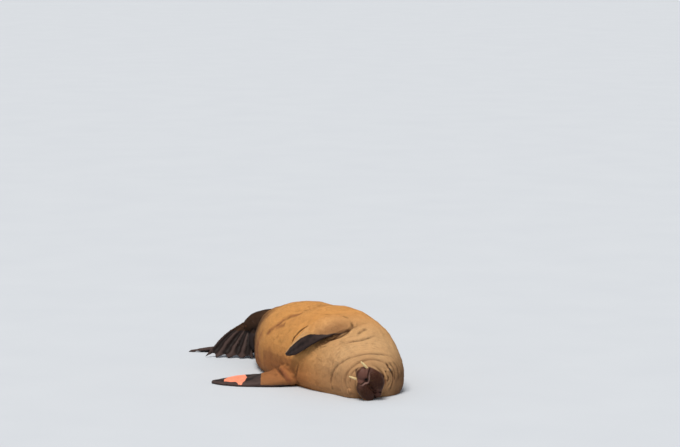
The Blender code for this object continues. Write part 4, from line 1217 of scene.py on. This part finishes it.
@dataclass(frozen=True)
class Markings:
    """Where the coat changes colour, where shade and highlights are painted on it, and how it lies,
    measured on the skin's corners.
    """

    sore: tuple[Row, ...] = (
        (-0.471, -0.124), (-0.508, -0.173), (-0.530, -0.186), (-0.545, -0.198), (-0.566, -0.180),
        (-0.571, -0.140), (-0.597, -0.112), (-0.634, -0.062), (-0.622, -0.030), (-0.595, 0.000),
        (-0.550, 0.035), (-0.490, 0.040), (-0.452, -0.030),
    )
    wrist: Row = (-0.405, -0.235)  # on the edge of the bare skin of the left fore flipper
    wrist_way: Row = (-0.909, 0.417)
    palm_line: tuple[Row, ...] = (
        (0.40, -1.10), (0.47, -0.97), (0.54, -0.80), (0.60, -0.50), (0.66, -0.06), (0.76, 0.36),
        (0.86, 0.50), (0.94, 0.40), (1.00, 0.30),
    )  # share of the right fore flipper's length, and the palm's edge across it

    def mark(self, piece: bpy.types.Object) -> None:
        """Keeps on the skin's corners what the colours, tufts and bristles follow."""
        own = places_of(piece.data) - SHIFT
        normals = normals_of(piece.data)
        tree = tree_of(piece.data, own)
        arms = RIGHT_ARM.measure(own), LEFT_ARM.measure(own)
        marks = self._tones(own, normals, arms)
        marks.update(Muzzle().marks(own))
        marks["fold_shade_and_spots"] = self._creases(own, normals, arms[0], tree)
        # Painted shadow in the fold between the belly and the right hind flipper.
        groin = np.linalg.norm((own - np.array(Skin.groin[0])) / np.array(Skin.groin[1]), axis=1)
        marks["deep_shade"] = np.maximum(marks["deep_shade"], 0.7 * (1.0 - ease(groin, 1.0, 1.5)))
        marks["dark"] = self._bare(own, normals, arms)
        # Painted shade over the right fore flipper's palm.
        palm = ease(arms[0]["share"], 0.40, 0.50) * arms[0]["near"] * ease(marks["dark"], 0.0, 0.006)
        marks["deep_shade"] = np.maximum(marks["deep_shade"], 0.5 * palm)
        marks["raw"] = np.where(normals[:, 2] > 0.1, inside_outline(own[:, :2], self.sore), -1.0)
        marks["patch"] = np.max([line.laid(tree).mark(own) for line in STREAKS], axis=0)
        marks["hollow_shade"] = self._hollows(piece.data, normals)
        marks["bristly"] = Muzzle().whiskers(own, normals)
        bald = np.maximum.reduce([ease(marks["dark"], -0.006, 0.004), ease(marks["raw"], -0.004, 0.004),
                                  ease(marks["muzzle"], -0.012, 0.004), marks["deep_shade"]])
        for lids in EYELIDS:
            near = 1.0 - ease(np.linalg.norm(own - lids.middle, axis=1), 0.020, 0.030)
            bald = np.maximum(bald, near)
        marks["hairy"] = (1.0 - bald) * ease(own[:, 2], 0.012, 0.022) * (1.0 - 0.8 * marks["fold_shade_and_spots"])
        face = 1.0 - ease(np.linalg.norm(own - MOUTH, axis=1), 0.14, 0.40)
        foot = np.maximum(ease(arms[0]["share"], 0.6, 0.95) * (arms[0]["inset"] > -0.02),
                          ease(arms[1]["share"], 0.3, 0.6) * (arms[1]["inset"] > -0.02))
        marks["long"] = 1.0 - 0.45 * np.maximum(face, foot)
        marks["lie"] = self._lie(own, normals, arms)
        for name, values in marks.items():
            keep(piece.data, name, values)

    @staticmethod
    def _tones(own: np.ndarray, normals: np.ndarray,
               arms: tuple[dict[str, np.ndarray], ...]) -> dict[str, np.ndarray]:
        """The coat's broad changes of colour, some of them painted shade: lower down, under the folded
        flipper, round the face, low on the head's far side, on the rear flank and near the floor.
        """
        x, y, z = own.T
        right, left = arms
        throat = 1.0 - ease(y, -0.86, -0.38)
        tip = ease(right["share"], 0.55, 0.80) * (right["inset"] > -0.004) * (right["lift"] > -0.02)
        low = 1.0 - ease(z, 0.04, 0.34)
        left_root = ease(-x, 0.13, 0.30) * (y < 0.2) * (z < 0.2)
        arm_low_shade = ease(right["share"], 0.30, 0.45) * (1.0 - ease(right["share"], 0.60, 0.75)) \
            * (1.0 - ease(right["across"] / right["half"], -0.9, 0.3)) * (right["inset"] > -0.004)
        face = 1.0 - ease(np.linalg.norm(own - MOUTH, axis=1), 0.16, 0.34)
        head_back_shade = ease(x, 0.26, 0.40) * (1.0 - ease(y, -0.80, -0.40))
        flank_start = 0.30 + 0.20 * ease(-z, -0.20, 0.0)
        flank_shade = 0.80 * ease(y, flank_start, 0.62) * (1.0 - ease(x, -0.10, 0.20))
        return {
            "pale": np.clip(np.maximum(throat, 0.75 * tip), 0.0, 1.0),
            # Browner towards the floor, partly painted shade; browner on the folded flipper's lower half,
            # painted shade.
            "russet": np.clip(0.85 * low * (1.0 - throat * 0.55) + 0.7 * left_root + 0.45 * arm_low_shade
                              + 0.30 * ease(y, 0.20, 0.60), 0.0, 1.0),
            # Darker on the far side, partly brown fur and partly painted shade; darker low on the rear
            # belly, partly painted shade; painted shade on the flipper's lower half, round the face, low on
            # the head's far side and near the floor.
            "umber": np.clip(0.36 * ease(x, 0.38, 0.62) * (1.0 - 0.5 * ease(z, 0.30, 0.50))
                             + 0.30 * ease(y, 0.00, 0.45) * (1.0 - ease(z, 0.34, 0.50))
                             + 0.50 * arm_low_shade + 0.32 * face
                             + 0.75 * head_back_shade * (1.0 - ease(z, 0.12, 0.40))
                             + 0.35 * (1.0 - ease(z, 0.0, 0.09)) + 0.40 * left_root, 0.0, 1.0),
            # The legs' dark brown fur, also laid on the rear flank as painted shade.
            "leg": np.maximum(ease(y, 0.62, 0.84), flank_shade) * (1.0 - 0.4 * ease(z, 0.40, 0.48)),
        }

    @staticmethod
    def _creases(own: np.ndarray, normals: np.ndarray, arm: dict[str, np.ndarray],
                 tree: BVHTree) -> np.ndarray:
        """The dark lines of folds, lids and the flipper's outline, all painted shade."""
        found = np.max([line.laid(tree).mark(own) for line in FOLDS], axis=0)
        clear = ease(arm["share"], 0.52, 0.62) * arm["near"] \
            * (arm["lift"] < 0.03) * (arm["lift"] > -0.12)
        beside = ease(arm["inset"], -0.036, -0.020) * (1.0 - ease(arm["inset"], -0.003, 0.002))
        upper = clear * beside * (arm["across"] > 0)
        lower = ease(arm["share"], 0.30, 0.40) * (1.0 - ease(arm["share"], 0.55, 0.65)) * arm["near"] \
            * (np.abs(arm["lift"]) < 0.06) * bump_at(arm["inset"] + 0.004, 0.010) * (arm["across"] < 0)
        found = np.maximum.reduce([found, upper, lower])
        for lids in EYELIDS:
            found = np.maximum(found, lids.mark(own, eye_outward(lids, own, normals)))
        return np.clip(found, 0.0, 1.0)

    def _bare(self, own: np.ndarray, normals: np.ndarray,
              arms: tuple[dict[str, np.ndarray], ...]) -> np.ndarray:
        """Signed distance into the dark bare skin of the flippers."""
        x, y, z = own.T
        right, left = arms
        wrist = (own[:, :2] - np.array(self.wrist)) @ np.array(self.wrist_way)
        on_left = (x < -0.20) & (y < 0.2)
        band = np.where(on_left, wrist, -1.0)
        # The left fore flipper's dark lower rim, partly its bare skin and partly painted contact shade.
        under = np.where(on_left & (normals[:, 2] < 0.15), 0.020 - z, -1.0)
        share, edge = np.array(self.palm_line).T
        bound = np.interp(right["share"], share, edge) * right["half"]
        palm = np.minimum(bound - right["across"], right["inset"] + 0.006)
        turned = np.einsum("ij,ij->i", normals, right["face"])
        clear = (right["lift"] > -0.015) | ((right["lift"] > -0.060) & (turned < 0.2))
        palm = np.where(right["near"] & (right["share"] > 0.4) & clear, palm, -1.0)
        web = np.minimum.reduce([0.212 - z, 0.035 - x, y - 0.86])
        fan = np.where(x < 0.2, y - 1.17, -1.0)
        return np.maximum.reduce([band, under, palm, web, fan])

    @staticmethod
    def _hollows(mesh: bpy.types.Mesh, normals: np.ndarray) -> np.ndarray:
        """Positive in hollows and negative on ridges; the coat takes it as painted shade in hollows and a
        painted highlight on ridges.
        """
        places = places_of(mesh)
        links = Links(mesh)
        mean = places
        for _ in range(6):
            mean = links.mean(mean)
        depth = np.einsum("ij,ij->i", mean - places, normals)[:, None]
        for _ in range(2):
            depth = links.mean(depth)
        return np.clip(depth[:, 0] / 0.0016, -1.0, 1.0)

    @staticmethod
    def _lie(own: np.ndarray, normals: np.ndarray,
             arms: tuple[dict[str, np.ndarray], ...]) -> np.ndarray:
        """The way the coat lies: from the muzzle to the tail, and down each limb."""
        away = own - MOUTH
        away /= np.maximum(np.linalg.norm(away, axis=1), 1e-9)[:, None]
        face = (1.0 - ease(own[:, 1], -1.0, -0.75))[:, None]
        lie = away * face + np.array([0.0, 1.0, 0.0]) * (1.0 - face)
        leg = ease(own[:, 1], 0.70, 0.95)[:, None]
        lie = lie * (1.0 - leg) + np.array([-0.75, 0.45, -0.50]) * leg
        for arm in arms:
            on_arm = ease(arm["share"], 0.10, 0.35) * arm["near"] \
                * (arm["inset"] > -0.01) * (arm["lift"] > -0.03)
            lie = lie * (1.0 - on_arm[:, None]) + arm["way"] * on_arm[:, None]
        lie = lie - normals * np.einsum("ij,ij->i", lie, normals)[:, None]
        return lie / np.maximum(np.linalg.norm(lie, axis=1), 1e-9)[:, None]


def unwrapped(piece: bpy.types.Object, triangles: int = 6000) -> np.ndarray:
    """Places on an unwrap of the piece's own shape, one for each corner of each face.

    Args:
        piece: A triangulated piece.
        triangles: How coarse the copy is that is unwrapped.

    Returns:
        Rows of u, v and 0.
    """
    coarse = linked("coarse", piece.data.copy())
    thin = coarse.modifiers.new("thin", "DECIMATE")
    thin.ratio = triangles / len(piece.data.polygons)
    with_modifiers(coarse)
    for other in bpy.context.view_layer.objects:
        other.select_set(other == coarse)
    bpy.context.view_layer.objects.active = coarse
    bpy.ops.object.mode_set(mode="EDIT")
    bpy.ops.mesh.select_all(action="SELECT")
    bpy.ops.uv.smart_project(angle_limit=math.radians(66.0), island_margin=0.006)
    bpy.ops.object.mode_set(mode="OBJECT")
    mesh = coarse.data
    flat = np.empty(len(mesh.loops) * 2, np.float32)
    mesh.uv_layers.active.data.foreach_get("uv", flat)
    charts = flat.reshape(-1, 3, 2).astype(float)
    shapes = places_of(mesh)[corners_of(mesh)].reshape(-1, 3, 3)
    sides = np.stack([shapes[:, 1] - shapes[:, 0], shapes[:, 2] - shapes[:, 0]], axis=2)
    steps = np.stack([charts[:, 1] - charts[:, 0], charts[:, 2] - charts[:, 0]], axis=2)
    into = steps @ np.linalg.pinv(sides)
    tree = tree_of(mesh, places_of(mesh))
    places = places_of(piece.data)[corners_of(piece.data)].reshape(-1, 3, 3)
    nearest = np.array([tree.find_nearest(Vector(place))[2] for place in places.mean(axis=1)])
    offset = places - shapes[nearest][:, :1]
    chart = charts[nearest][:, :1] + np.einsum("fij,fkj->fki", into[nearest], offset)
    bpy.data.objects.remove(coarse)
    return np.dstack([chart, np.zeros(chart.shape[:2])]).reshape(-1, 3)


@dataclass
class Coat:
    """Short fur in thin tufts that lie tailwards, in one piece for each region of the body."""

    length: float = 0.0105
    width: float = 0.0022
    thick: float = 0.0008
    lift: float = 0.10
    stray: float = 0.28
    long_range: Row = (0.65, 1.25)
    wide_range: Row = (0.7, 1.3)
    tone_range: Row = (0.90, 1.12)
    patch: float = 0.003  # a tuft's side on the unwrapped skin
    tufts: int = 46000  # in each piece
    # The part that names each region's piece, and where it starts and ends along the body.
    regions: tuple[tuple[Part, float, float], ...] = (
        (Part.NECK, -9.0, -0.62), (Part.CHEST, -0.62, -0.18), (Part.BELLY, -0.18, 0.26),
        (Part.HIPS, 0.26, 9.0),
    )

    def build(self, skin: bpy.types.Object) -> list[bpy.types.Object]:
        """Makes the coat.

        Args:
            skin: The skin that it grows from.

        Returns:
            One piece for each region.
        """
        keep(skin.data, "spot", unwrapped(skin), "CORNER")
        material = SkinFinish().build("walrus_tufts", is_tuft=True)
        blade = self._blade()
        made = [self._region(skin, blade, material, *region) for region in self.regions]
        bpy.data.objects.remove(blade)
        skin.data.attributes.remove(skin.data.attributes["spot"])
        return made

    def _blade(self) -> bpy.types.Object:
        """One tuft: a flat closed spike along +Y, its back along +Z."""
        half = self.width / 2
        points = [(-half, 0.0, -self.thick), (half, 0.0, -self.thick), (0.0, 0.0, self.thick * 0.5),
                  (0.0, self.length, 0.0)]
        blade = mesh_piece("blade", points, [(0, 1, 2), (1, 0, 3), (2, 1, 3), (0, 2, 3)])
        leaf = [(-1.0, 0.0, 0.0), (1.0, 0.0, 0.0), (0.0, 0.3, 0.0), (0.0, 2.0, 0.0)]
        keep(blade.data, "leaf", np.array(leaf) * self.patch / 2)
        return blade

    def _region(self, skin: bpy.types.Object, blade: bpy.types.Object, material: bpy.types.Material,
                slot: Part, start: float, end: float) -> bpy.types.Object:
        """The tufts of one region."""
        host = bpy.data.objects.new("host", skin.data.copy())
        along = places_of(host.data)[:, 1] - SHIFT[1]
        layer = host.data.attributes["hairy"].data
        hairy = np.empty(len(layer), np.float32)
        layer.foreach_get("value", hairy)
        hairy *= (along >= start) & (along < end)
        layer.foreach_set("value", hairy)
        made = Growth("coat_" + slot.value)
        density = made.size("Density", self.tufts / max(0.01, self._weighed_area(host.data, hairy)))
        stray = made.size("Stray", self.stray)
        lift = made.size("Lift", self.lift)
        points = made.node("GeometryNodeDistributePointsOnFaces", {"distribute_method": "RANDOM"}, {
            "Mesh": made.host, "Density": density * made.named("hairy"), "Seed": 3}, "Points")
        normal = points.sibling("Normal")
        lie = made.vector("ADD", made.named("lie", "FLOAT_VECTOR"), made.vector("SCALE", normal, lift))
        lie = made.vector("ADD", lie, made.vector("SCALE", made.random_vector(1.0, 4), stray))
        turn = made.node("FunctionNodeAlignRotationToVector", {"axis": "Y"}, {"Vector": lie}, "Rotation")
        turn = made.node("FunctionNodeAlignRotationToVector", {"axis": "Z", "pivot_axis": "Y"},
                         {"Rotation": turn, "Vector": normal}, "Rotation")
        long = made.named("long") * made.random(*self.long_range, 5)
        wide = made.random(*self.wide_range, 6)
        scale = made.node("ShaderNodeCombineXYZ", {}, {0: wide, 1: long, 2: 1.0})
        points = made.store(points, "tone", made.random(*self.tone_range, 7))
        tuft = made.node("GeometryNodeObjectInfo", {}, {"Object": blade}, "Geometry")
        tufts = made.node("GeometryNodeInstanceOnPoints", {}, {
            "Points": points, "Instance": tuft, "Rotation": turn, "Scale": scale}, "Instances")
        tufts = made.node("GeometryNodeRealizeInstances", {}, {"Geometry": tufts}, "Geometry")
        spot, leaf = made.named("spot", "FLOAT_VECTOR"), made.named("leaf", "FLOAT_VECTOR")
        chart = made.vector("ADD", spot, leaf)
        tufts = made.store(tufts, "OFBake", chart, "FLOAT2", "CORNER")
        piece = made.grow("tufts_" + slot.value, host, tufts, material)
        bpy.data.objects.remove(host)
        for name in ("spot", "leaf", "lie", "hairy", "long", "bristly"):
            if name in piece.data.attributes:
                piece.data.attributes.remove(piece.data.attributes[name])
        return finished(piece, material, slot.value)

    @staticmethod
    def _weighed_area(mesh: bpy.types.Mesh, weight: np.ndarray) -> float:
        """The mesh's area, each face counted by its corners' mean weight."""
        area = np.empty(len(mesh.polygons), np.float32)
        mesh.polygons.foreach_get("area", area)
        return float((area * weight[corners_of(mesh)].reshape(-1, 3).mean(axis=1)).sum())


@dataclass(frozen=True)
class BristleFinish:
    """Stiff bristles, dark at the root and amber at the tip."""

    root: Colour = (0.035, 0.016, 0.010)
    tip: Colour = (0.42, 0.22, 0.08)

    def build(self) -> bpy.types.Material:
        """Makes the material."""
        made = Finish("bristle", Roughness=0.35, Specular_IOR_Level=0.5)
        made.set("Base Color", made.mix(made.attribute("tipward").rise(0.25, 1.0), self.root, self.tip))
        return made.material


@dataclass
class Whiskers:
    """Some hundred bent bristles on the muzzle's two pads."""

    apart: float = 0.0068
    length: float = 0.024
    radii: Row = (0.00085, 0.00070, 0.00045, 0.00018)
    bend: float = 0.007  # how far the tip stands off the root's line
    sunk: float = 0.002  # how deep the root is in the skin
    lean: Row = (0.9, 0.55, 0.30)  # out of the skin, forwards and towards the chin
    stray: float = 0.16
    size_range: Row = (0.55, 1.15)
    sides: int = 5
    rings: int = 8

    def build(self, skin: bpy.types.Object) -> bpy.types.Object:
        """Makes them all as one piece."""
        bristle = self._bristle()
        host = bpy.data.objects.new("host", skin.data.copy())
        made = Growth("whiskers")
        apart = made.size("Apart", self.apart)
        points = made.node("GeometryNodeDistributePointsOnFaces", {"distribute_method": "POISSON"}, {
            "Mesh": made.host, "Distance Min": apart, "Density Max": 60000.0,
            "Density Factor": made.named("bristly"), "Seed": 11}, "Points")
        normal = points.sibling("Normal")
        outward, ahead, chinward = self.lean
        lean = tuple(FORWARD * ahead + CHINWARD * chinward)
        way = made.vector("ADD", made.vector("SCALE", normal, outward), lean)
        way = made.vector("ADD", way, made.random_vector(self.stray, 12))
        turn = made.node("FunctionNodeAlignRotationToVector", {"axis": "Z"}, {"Vector": way}, "Rotation")
        turn = made.node("FunctionNodeAlignRotationToVector", {"axis": "X", "pivot_axis": "Z"},
                         {"Rotation": turn, "Vector": tuple(CHINWARD)}, "Rotation")
        one = made.node("GeometryNodeObjectInfo", {}, {"Object": bristle}, "Geometry")
        grown = made.node("GeometryNodeInstanceOnPoints", {}, {
            "Points": points, "Instance": one, "Rotation": turn,
            "Scale": made.random(*self.size_range, 13)}, "Instances")
        material = BristleFinish().build()
        piece = made.grow("whiskers", host, grown, material)
        for spare in (bristle, host):
            bpy.data.objects.remove(spare)
        wanted = {"position", "tipward", "sharp_face", "material_index"}
        for name in [layer.name for layer in piece.data.attributes]:
            if name not in wanted and not name.startswith("."):
                piece.data.attributes.remove(piece.data.attributes[name])
        return finished(piece, material, "muzzle")

    def _bristle(self) -> bpy.types.Object:
        """One bristle along +Z that bends towards +X."""
        share = np.linspace(0.0, 1.0, self.rings)
        radii = np.interp(share, np.linspace(0.0, 1.0, len(self.radii)), self.radii)
        turn = np.linspace(0.0, 2 * math.pi, self.sides, endpoint=False)
        points = [(math.cos(angle) * radius + self.bend * along ** 2, math.sin(angle) * radius,
                   along * self.length - self.sunk)
                  for along, radius in zip(share, radii) for angle in turn]
        points += [(0.0, 0.0, -self.sunk), (self.bend * 1.02, 0.0, self.length - 0.0015)]
        faces = []
        for step in range(self.sides):
            after = (step + 1) % self.sides
            for ring in range(self.rings - 1):
                low, high = ring * self.sides, (ring + 1) * self.sides
                faces.append((low + step, low + after, high + after, high + step))
            last = (self.rings - 1) * self.sides
            faces.append((after, step, len(points) - 2))
            faces.append((last + step, last + after, len(points) - 1))
        made = mesh_piece("bristle", points, faces)
        keep(made.data, "tipward", np.concatenate([np.repeat(share, self.sides), [0.0, 1.0]]))
        return made


@dataclass(frozen=True)
class EyeFinish:
    """A dark wet eye with a brown ring in it."""

    ball: Colour = (0.016, 0.009, 0.007)
    ring: Colour = (0.060, 0.026, 0.012)

    def build(self) -> bpy.types.Material:
        """Makes the material."""
        made = Finish("eye", Roughness=0.12, Coat_Weight=0.4, Coat_Roughness=0.03)
        made.set("Base Color", made.mix(made.noise(260.0), self.ball, self.ring))
        return made.material


@dataclass
class Eyes:
    """The eyeballs."""

    radius: float = 0.0145
    around: int = 48
    rings: int = 32

    def build(self) -> list[bpy.types.Object]:
        """Makes both eyeballs where their solids are."""
        material = EyeFinish().build()
        made = []
        for lids in EYELIDS:
            work = bmesh.new()
            place = Matrix.Translation(Vector(lids.middle + SHIFT))
            bmesh.ops.create_uvsphere(work, u_segments=self.around, v_segments=self.rings,
                                      radius=self.radius, matrix=place)
            ball = worked_piece(lids.node + "_ball", work)
            made.append(finished(ball, material, lids.node, lids.node))
        return made


@dataclass(frozen=True)
class TuskFinish:
    """Old ivory: pale yellow, darker and streaked towards the root."""

    ivory: Colour = (0.86, 0.66, 0.33)
    stain: Colour = (0.42, 0.25, 0.10)

    def build(self) -> bpy.types.Material:
        """Makes the material."""
        made = Finish("ivory", Coat_Weight=0.25, Coat_Roughness=0.2, Subsurface_Weight=0.08)
        along = made.vector("DOT_PRODUCT", made.place, tuple(CHINWARD), out="Value")
        streaks = made.noise(160.0, 3.0)
        root = (made.attribute("root") + (streaks - 0.5) * 0.5).rise(0.35, 1.0)
        ivory = made.mix(streaks * 0.4, self.ivory, self.stain)
        made.set("Base Color", made.mix(root * 0.8, ivory, self.stain))
        made.set("Roughness", 0.30 + streaks * 0.2)
        rings = (along * 900.0).math("SINE")
        made.set("Normal", made.bump(rings * 0.15 + streaks, 0.0008, 0.4))
        return made.material


@dataclass
class Tusks:
    """The two short tusks."""

    right: tuple[Row, ...] = (
        (0.057, 0.035, -0.046, 0.0105), (0.060, 0.085, -0.036, 0.0100),
        (0.061, 0.125, -0.027, 0.0080), (0.0605, 0.154, -0.020, 0.0050),
    )
    left: tuple[Row, ...] = (
        (-0.048, 0.030, -0.046, 0.0105), (-0.055, 0.072, -0.036, 0.0100),
        (-0.067, 0.102, -0.027, 0.0080), (-0.0755, 0.123, -0.020, 0.0050),
    )
    rings: int = 26
    around: int = 24
    dome: int = 5  # rings of the rounded tip

    def build(self) -> list[bpy.types.Object]:
        """Makes both tusks."""
        material = TuskFinish().build()
        return [finished(self._tusk(name, table), material, name, name)
                for name, table in (("right_tusk", self.right), ("left_tusk", self.left))]

    def _tusk(self, name: str, table: tuple[Row, ...]) -> bpy.types.Object:
        """One tapered tooth with a domed tip."""
        rows = smooth_rows(table, self.rings)
        turn = np.linspace(0, 2 * math.pi, self.around, endpoint=False)
        side = np.outer(np.cos(turn), RIGHTWARD) + np.outer(np.sin(turn), FORWARD)
        middles = [head_point(*row[:3]) for row in rows]
        radii = [row[3] for row in rows]
        way = middles[-1] - middles[-2]
        way /= np.linalg.norm(way)
        for step in range(1, self.dome):
            angle = step / self.dome * math.pi / 2
            middles.append(middles[self.rings - 1] + way * (math.sin(angle) * rows[-1][3] * 0.75))
            radii.append(rows[-1][3] * math.cos(angle))
        points = np.concatenate([middle + side * radius for middle, radius in zip(middles, radii)])
        tip = middles[self.rings - 1] + way * rows[-1][3] * 0.75
        points = np.vstack([points, tip, middles[0]])
        faces = []
        for ring in range(len(middles) - 1):
            for step in range(self.around):
                a = ring * self.around + step
                b = ring * self.around + (step + 1) % self.around
                faces.append((a, b, b + self.around, a + self.around))
        last = (len(middles) - 1) * self.around
        for step in range(self.around):
            after = (step + 1) % self.around
            faces.append((last + step, last + after, len(points) - 2))
            faces.append((after, step, len(points) - 1))
        made = mesh_piece(name + "_tooth", points, faces)
        work = bmesh.new()
        work.from_mesh(made.data)
        bmesh.ops.recalc_face_normals(work, faces=work.faces[:])
        work.to_mesh(made.data)
        work.free()
        share = [1.0 - index / (len(middles) - 1) for index in range(len(middles))]
        keep(made.data, "root", np.concatenate([np.repeat(share, self.around), [0.0, 1.0]]))
        return made


@dataclass
class Studio:
    """Floor, light and camera."""

    camera_at: Row = (-8.228, -19.268, 3.8)
    heading: float = 24.0  # degrees from +Y towards +X
    pitch: float = 7.11  # degrees below level
    sensor: float = 36.0  # millimetres
    focal: float = 147.07  # millimetres
    floor_half: float = 140.0
    floor_tones: tuple[Colour, Colour] = ((0.53, 0.565, 0.625), (0.57, 0.605, 0.66))
    surround: Colour = (0.92, 0.96, 1.0)
    surround_strength: float = 0.42
    sun: Colour = (1.0, 0.95, 0.87)
    sun_strength: float = 3.3
    sun_wide: float = 26.0  # degrees
    sun_from: Row = (-0.32, -0.42, 1.0)

    def build(self) -> None:
        """Makes them all."""
        bpy.context.scene.view_settings.view_transform = "Standard"
        self._camera()
        self._floor()
        self._lights()

    def _camera(self) -> None:
        """The camera at the photograph's angle and framing."""
        data = bpy.data.cameras.new("camera")
        data.lens = self.focal
        data.sensor_width = self.sensor
        data.clip_end = 500.0
        camera = linked("camera", data)
        camera.location = Vector(np.array(self.camera_at) + SHIFT)
        camera.rotation_euler = (math.radians(90 - self.pitch), 0.0, -math.radians(self.heading))
        bpy.context.scene.camera = camera

    def _floor(self) -> None:
        """A plain pale floor."""
        half = self.floor_half
        corners = [(-half, -half, 0.0), (half, -half, 0.0), (half, half, 0.0), (-half, half, 0.0)]
        floor = mesh_piece("floor", corners, [(0, 1, 2, 3)])
        made = Finish("floor_paint", Roughness=0.75)
        made.set("Base Color", made.mix(made.noise(1.2, 4.0), *self.floor_tones))
        floor.data.materials.append(made.material)

    def _lights(self) -> None:
        """A broad soft light from the front left and high up, over an even pale surround."""
        world = bpy.data.worlds.new("surround")
        world.use_nodes = True
        background = world.node_tree.nodes["Background"]
        background.inputs[0].default_value = (*self.surround, 1.0)
        background.inputs[1].default_value = self.surround_strength
        bpy.context.scene.world = world
        data = bpy.data.lights.new("key", "SUN")
        data.energy = self.sun_strength
        data.angle = math.radians(self.sun_wide)
        data.color = self.sun
        key = linked("key", data)
        key.rotation_euler = Vector(self.sun_from).to_track_quat("Z", "Y").to_euler()


def main() -> None:
    """Builds the pieces in order."""
    logging.basicConfig(level=logging.INFO, format="%(name)s %(message)s")
    Studio().build()
    skin = Skin().build()
    Eyes().build()
    Tusks().build()
    Whiskers().build(skin)
    Coat().build(skin)


if __name__ == "__main__":
    main()
